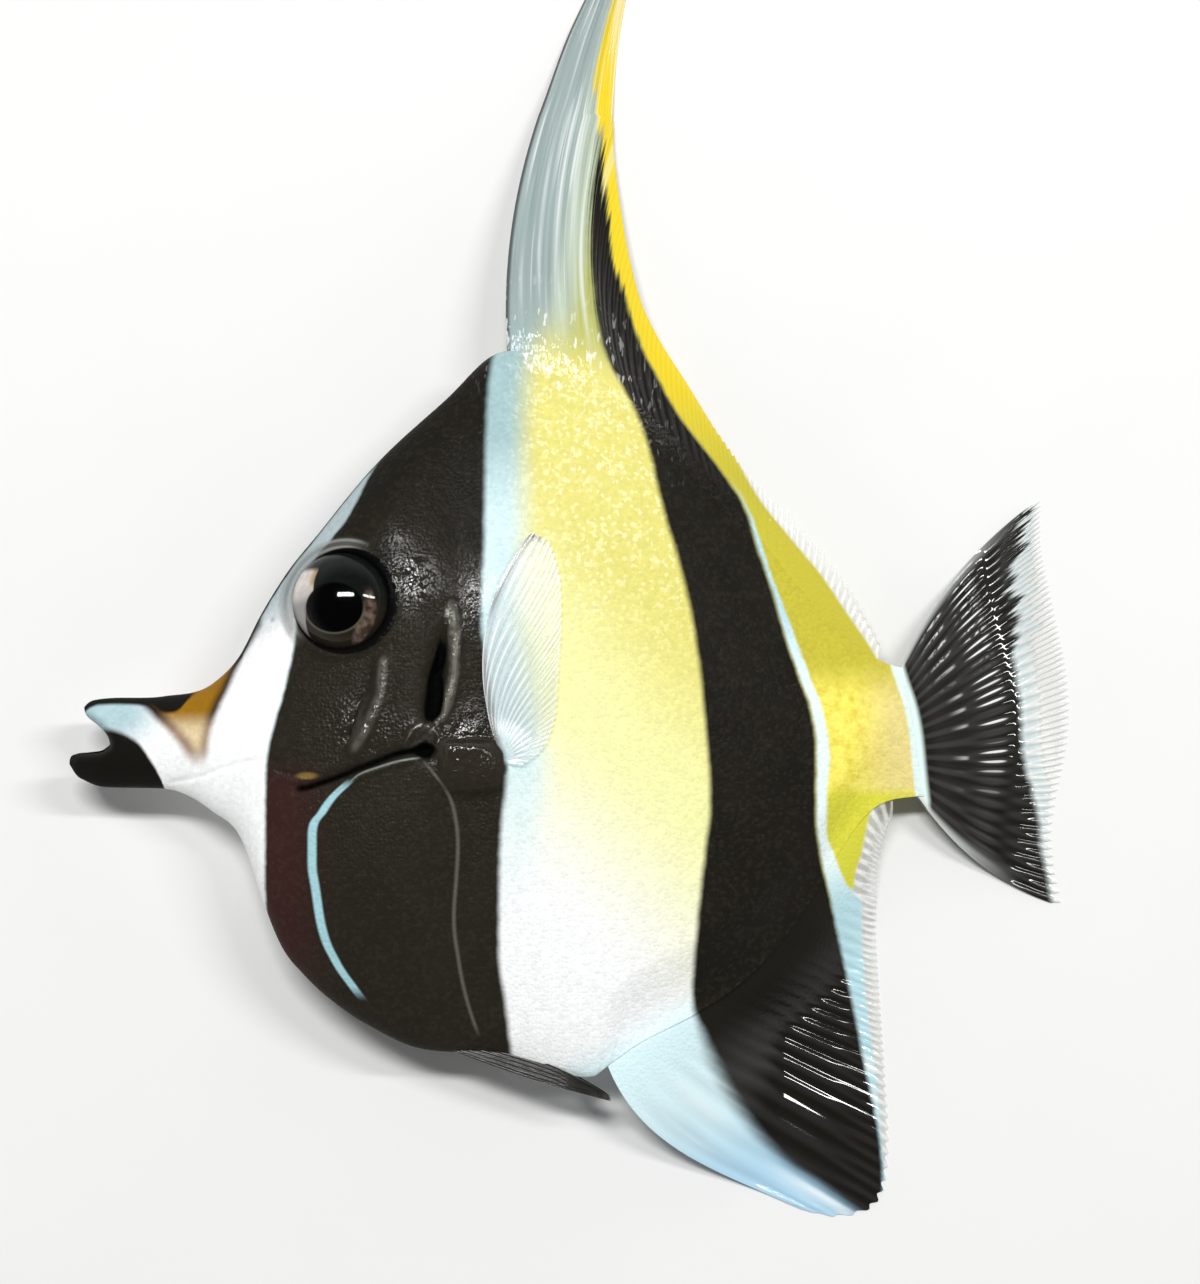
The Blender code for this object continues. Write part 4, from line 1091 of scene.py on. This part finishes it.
def caudalMaterial():
    values = {"Coat_Weight": 1.0, "Coat_Roughness": film["coatRoughness"], "Specular_IOR_Level": 0.04}
    made, shader = newMaterial("caudalWet", **values)
    _, x, y = planSpot()
    uv, across, along, ridge = rayPlace()
    fine = streaks(uv, (60.0, 1.8, 1.0))
    dark = mix(fine, caudalTones["black"], caudalTones["greyBlack"])
    dark = paint(dark, caudalTones["ray"], (ridge, 0.3, 1.0), 0.8)
    # glints along some of the rays, broken into dashes on the upper ones
    whichRay = streaks(uv, (17.0, 0.4, 1.0), 0.0)
    dashes = streaks(uv, (64.0, 26.0, 1.0))
    lined = times((whichRay, 0.44, 0.54), (across, 0.85, 0.65), (along, 0.25, 0.45))
    dashed = times((across, 0.42, 0.2), (dashes, 0.42, 0.55), (along, 0.15, 0.4))
    dark = paint(dark, caudalTones["glint"], larger(lined, dashed), (ridge, 0.76, 0.93))
    pastBar = pastLine(marks["barFront"], x, y)
    colour = mix((pastBar, 1.5, 0.9), dark, marks["barBlue"])
    colour = paint(colour, marks["stemTan"], (pastBar, 0.2, -0.15))
    fromMiddle = calc("ABSOLUTE", scaled(across, 2.0, -1.0))
    colour = paint(colour, caudalTones["edge"], (fromMiddle, 0.9, 0.99), (x, 83.0, 75.0), 0.8)
    # the pale band and the clear fringe, with a ragged border
    ragged = times(scaled(fine, 2.0, -1.0), scaled(step(y, 8.0, 16.0), 2.0, 0.35))
    pastBlack = calc("ADD", pastLine(fins["caudal"]["blackEnd"], x, y), ragged)
    rays, clear = step(ridge, 0.35, 0.9), step(pastBlack, 0.9, 1.9)
    band = mix(rays, caudalTones["band"], caudalTones["bandRay"])
    colour = paint(colour, band, (pastBlack, -0.6, 0.4))
    colour = paint(colour, mix(rays, caudalTones["fringe"], caudalTones["fringeRay"]), clear)
    thinness = times(clear, scaled(rays, -0.55, 0.88))
    thinness = larger(thinness, times((pastBlack, 0.0, 0.5), 0.25))
    alpha = minus(1.0, thinness)
    feed(shader, {"Base Color": colour, "Roughness": scaled(fine, 0.25, 0.45), "Alpha": alpha})
    return made


def buildCaudal():
    part = fins["caudal"]
    piece, r, v, side = sheetPair("caudalFin", part["columns"], part["rows"])
    ridge = rayRidge(r, v, part["rays"], part["fork"])
    finer = rayRidge(r, v, part["rays"] * 2 - 1, 0.7)
    ridge = ridge + (finer - ridge) * ease((v - 0.55) / 0.25)
    high, low = part["root"]
    rootX, rootY = high[0] + (low[0] - high[0]) * r - part["sink"], high[1] + (low[1] - high[1]) * r
    bend = lambda v, length: 4 * v * (1 - v) * part["bend"] * (1 - 2 * r)
    x, y, far = fanOut(part, r, v, rootX, rootY, bend, ridge)
    half = finHalf(part, ridge, v, far - part["sink"])
    placeVertices(piece, x, y, laidAt(middleAt(rootX + 1.5), far, part["reach"], half, side))
    finish(piece, r, v, ridge, caudalMaterial(), "fin", "caudal_fin")


buildCaudal()


pectoralTones = {
    "membrane": (0.76, 0.82, 0.82), "shade": (0.52, 0.58, 0.60), "ray": (0.95, 0.97, 0.97),
    "edge": (0.05, 0.055, 0.06),
}


def clearFinMaterial():
    made, shader = newMaterial("pectoralWet", Coat_Weight=0.4, Coat_Roughness=0.08)
    uv, across, along, ridge = rayPlace()
    fine = streaks(uv, (34.0, 3.0, 1.0), 3.0)
    sharp, between = times((ridge, 0.6, 1.0), (fine, 0.25, 0.55)), step(ridge, 0.35, 0.0)
    # the membrane between the rays is painted darker as shade
    colour = mix(between, pectoralTones["membrane"], pectoralTones["shade"])
    colour = paint(colour, pectoralTones["ray"], sharp)
    front = times((across, 0.03, 0.005), (along, 0.45, 0.7))
    edge = larger(front, times((across, 0.12, 0.0), (along, 0.96, 0.99)))
    colour = paint(colour, pectoralTones["edge"], edge)
    # clearer at its root and towards its rear margin
    alpha = calc("ADD", scaled(sharp, 0.3, 0.24), times(between, 0.06))
    outer = scaled(step(along, 1.0, 0.3), 0.35, 0.75)
    alpha = times(alpha, outer, scaled(step(along, 0.0, 0.3), 0.7, 0.3))
    feed(shader, {
        "Base Color": colour, "Roughness": scaled(fine, 0.25, 0.15),
        "Alpha": larger(alpha, times(edge, 0.7)),
    })
    return made


def buildPectorals():
    part = fins["pectoral"]
    material = clearFinMaterial()
    for flankSide, name in ((1, "Left"), (-1, "Right")):
        piece, r, v, side = sheetPair("pectoral" + name, part["columns"], part["rows"])
        ridge = rayRidge(r, v, part["rays"], part["fork"])
        rootX, rootY = routeAt(part["root"], r)
        early = 0.9 * ease(r / 0.12)
        bend = lambda v, length: 4 * v * (1 - v) * (1 + early * (1 - 2 * v)) * part["bow"] * (1 - r) ** 2.2
        x, y, far = fanOut(part, r, v, rootX, rootY, bend, ridge)
        opens = ease(far / 3.0)
        half = part["half"] + part["ridge"] * ridge * opens
        if flankSide > 0:
            low, tip, root = part["lift"]
            z = middleAt(x) + thicknessAt(x, y) + low + tip * v + root * (1 - opens) + side * half
        else:
            z = half + side * half
        placeVertices(piece, x, y, z)
        finish(piece, r, v, ridge, material, "fin_clear", "pectoral_fin_" + name.lower())


buildPectorals()


def blackFinMaterial():
    made, shader = newMaterial("pelvicWet", Coat_Weight=0.5, Coat_Roughness=0.08)
    streak = streaks(rayPlace()[0], (14.0, 3.0, 1.0), 3.0)
    colour = mix(streak, (0.007, 0.007, 0.006), (0.035, 0.033, 0.028))
    feed(shader, {"Base Color": colour, "Roughness": scaled(streak, 0.25, 0.15)})
    return made


def buildPelvics():
    part = fins["pelvic"]
    material = blackFinMaterial()
    near, spread = part["apart"]
    for flankSide, name in ((1, "Left"), (-1, "Right")):
        piece, r, v, side = sheetPair("pelvic" + name, part["columns"], part["rows"])
        ridge = rayRidge(r, v, part["rays"], part["fork"])
        rootX, rootY = outlineAt("bellyLine", part["root"], r, -part["sink"])
        bend = lambda v, length: -4 * v * (1 - v) * part["bend"] * (0.3 - r)
        x, y, far = fanOut(part, r, v, rootX, rootY, bend, ridge)
        half = finHalf(part, ridge, v, far)
        z = body["middleHeight"] + flankSide * (near + (spread - near) * v) + side * half
        placeVertices(piece, x, y, z)
        finish(piece, r, v, ridge, material, "fin", "pelvic_fin_" + name.lower())


buildPelvics()


eyeTones = {
    "dark": (0.002, 0.003, 0.003), "darkPale": (0.012, 0.014, 0.013), "low": (0.018, 0.016, 0.010),
    "silver": (0.30, 0.29, 0.285), "silverPale": (0.72, 0.66, 0.61), "copper": (0.42, 0.30, 0.16),
    "silverDull": (0.30, 0.27, 0.25), "brown": (0.035, 0.026, 0.020), "brownPale": (0.16, 0.11, 0.085),
    "ring": (0.34, 0.38, 0.36), "pupilRim": (0.13, 0.115, 0.085), "pupil": (0.0008, 0.0008, 0.001),
}


def eyeMaterial():
    made, shader = newMaterial("irisWet", Roughness=0.6, Specular_IOR_Level=0.0)
    place, x, y = planSpot()
    dx, dy = minus(x, eye["x"]), minus(y, eye["y"])
    grainy = noise(place, 1.6, 4.0)
    colour = mix(grainy, eyeTones["dark"], eyeTones["darkPale"])
    colour = mix((dy, 1.5, -1.5), colour, eyeTones["low"])
    # the silver crescent in front, paler towards its top, partly its own colour and partly a painted
    # highlight, the brown one behind, and a faint ring of painted reflection at the cornea's edge
    names = ("silver", "brownInner", "brownOuter")
    inner, brownInner, brownOuter = (pastLine(eye[name], dx, dy) for name in names)
    tone = mix((scaled(dx, -0.4, dy), 0.9, 2.4), eyeTones["silver"], eyeTones["silverPale"])
    tone = paint(tone, eyeTones["copper"], (inner, -0.6, -0.1), (dy, 0.9, 1.6))
    tone = paint(tone, eyeTones["silverDull"], (grainy, 0.4, 0.7), 0.3)
    colour = paint(colour, tone, (inner, 0.08, -0.08), (dy, -3.9, -3.5), (dy, 2.9, 2.3))
    brown = mix((grainy, 0.35, 0.7), eyeTones["brown"], eyeTones["brownPale"])
    onBrown = times((brownInner, -0.15, 0.15), (brownOuter, 0.15, -0.2), (dy, -3.8, -3.2), (dy, 1.4, 0.2))
    colour = paint(colour, brown, onBrown)
    away = farOf(dx, dy)
    ring = times((away, 3.9, 4.0), (away, 4.2, 4.1), (dx, 1.0, 3.0), (dy, 2.0, 0.5))
    colour = paint(colour, eyeTones["ring"], ring, 0.8)
    px, py, rx, ry = eye["pupil"]
    pupil = farOf(*(calc("DIVIDE", minus(d, p), r) for d, p, r in ((dx, px, rx), (dy, py, ry))))
    colour = paint(colour, eyeTones["pupilRim"], (pupil, 1.14, 1.06), (dy, 0.3, -1.2), 0.6)
    feed(shader, {"Base Color": paint(colour, eyeTones["pupil"], (pupil, 1.05, 0.99))})
    return made


def corneaMaterial():
    made, shader = newMaterial("corneaClear", Roughness=0.05, Transmission_Weight=1.0, IOR=1.34)
    # it throws no shadow on the iris
    path = nodeOf("LightPath").outputs
    feed(shader, {"Alpha": minus(1.0, larger(path["Is Shadow Ray"], path["Is Diffuse Ray"]))})
    return made


def eyeTurn(side):
    # an eye leans a little with the flank
    x, y, over, lean = np.array([eye["x"]]), np.array([eye["y"]]), eye["leanOver"], eye["lean"]
    tiltX = (thicknessAt(x + over, y) - thicknessAt(x - over, y))[0] / (2 * over)
    tiltY = (thicknessAt(x, y + over) - thicknessAt(x, y - over))[0] / (2 * over)
    return Vector((0, 0, 1)).rotation_difference(Vector((-tiltX * lean, -tiltY * lean, side)).normalized())


def buildEyes():
    layers = (("iris", eyeMaterial(), eye["irisInset"]), ("cornea", corneaMaterial(), 0.0))
    for side, name in ((1, "Left"), (-1, "Right")):
        turn, node = eyeTurn(side), "eye_" + name.lower()
        low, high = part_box(node)
        for layer, material, inset in layers:
            add = bpy.ops.mesh.primitive_uv_sphere_add
            piece = newPiece(layer + name, add, segments=96, ring_count=64, radius=1.0)
            places = placesOf(piece) * (eye["radius"] - inset, eye["radius"] - inset, eye["depth"] - inset)
            if inset:
                deep, start, over = eye["dish"]
                dished = deep * ease((start - np.hypot(places[:, 0], places[:, 1])) / over)
                places[:, 2] -= np.where(places[:, 2] > 0, dished, 0.0)
            turned = np.array([turn @ Vector(place * millimetre) + (low + high) / 2 for place in places])
            turned[:, 2] = np.maximum(turned[:, 2], 0.0)
            putPlaces(piece, turned)
            dress(piece, material, "eye", *([node] if inset else []))


buildEyes()

# Floor, light and camera, in metres
stage = {
    "floorTone": (0.86, 0.86, 0.85), "floorDarker": 0.97, "skyHigh": 0.04, "skyLow": 0.7,
    # place, length, width and power
    "lights": {
        "barLight": ((-0.08, 0.14, 0.55), 0.22, 0.055, 2.4),
        "rayLight": ((0.33, 0.14, 0.55), 0.30, 0.03, 1.6),
    },
    "cameraPlace": (-0.001076, -0.046152, 0.279340), "cameraTurn": (0.0660, -0.0114, 0.0064), "lens": 89.17,
}


def buildStage():
    floor = newPiece("floor", bpy.ops.mesh.primitive_plane_add, size=4.0, location=(0.0, 0.0, 0.0))
    made, shader = newMaterial("floorPale", Roughness=0.7, Specular_IOR_Level=0.2)
    uneven = noise(nodeOf("TexCoord").outputs["Object"], 60.0, 4.0)
    darker = tuple(part * stage["floorDarker"] for part in stage["floorTone"])
    feed(shader, {"Base Color": mix(uneven, stage["floorTone"], darker)})
    floor.data.materials.append(made)
    # the sky is dark overhead, so that the black skin stays black, and bright all round
    world = bpy.data.worlds.new("studio")
    bpy.context.scene.world = world
    world.use_nodes = True
    drawn["tree"] = world.node_tree
    upward = nodeOf("SeparateXYZ", {0: nodeOf("TexCoord").outputs["Generated"]}).outputs[2]
    sky = mix((upward, 0.25, 0.75), (stage["skyLow"],) * 3, (stage["skyHigh"],) * 3)
    feed(world.node_tree.nodes["Background"], {"Color": sky})
    for name, (place, long, wide, power) in stage["lights"].items():
        lamp = newPiece(name, bpy.ops.object.light_add, type="AREA", location=place)
        lamp.data.shape = "RECTANGLE"
        lamp.data.size, lamp.data.size_y, lamp.data.energy = long, wide, power
        lamp.rotation_euler = (-math.atan2(place[1], place[2]), 0.0, 0.0)


def buildCamera():
    where = {"location": stage["cameraPlace"], "rotation": stage["cameraTurn"]}
    camera = newPiece("camera", bpy.ops.object.camera_add, **where)
    camera.data.sensor_width = 36.0
    camera.data.lens = stage["lens"]
    camera.data.clip_start = 0.01
    bpy.context.scene.camera = camera
    bpy.context.scene.view_settings.view_transform = "Standard"


buildStage()
buildCamera()
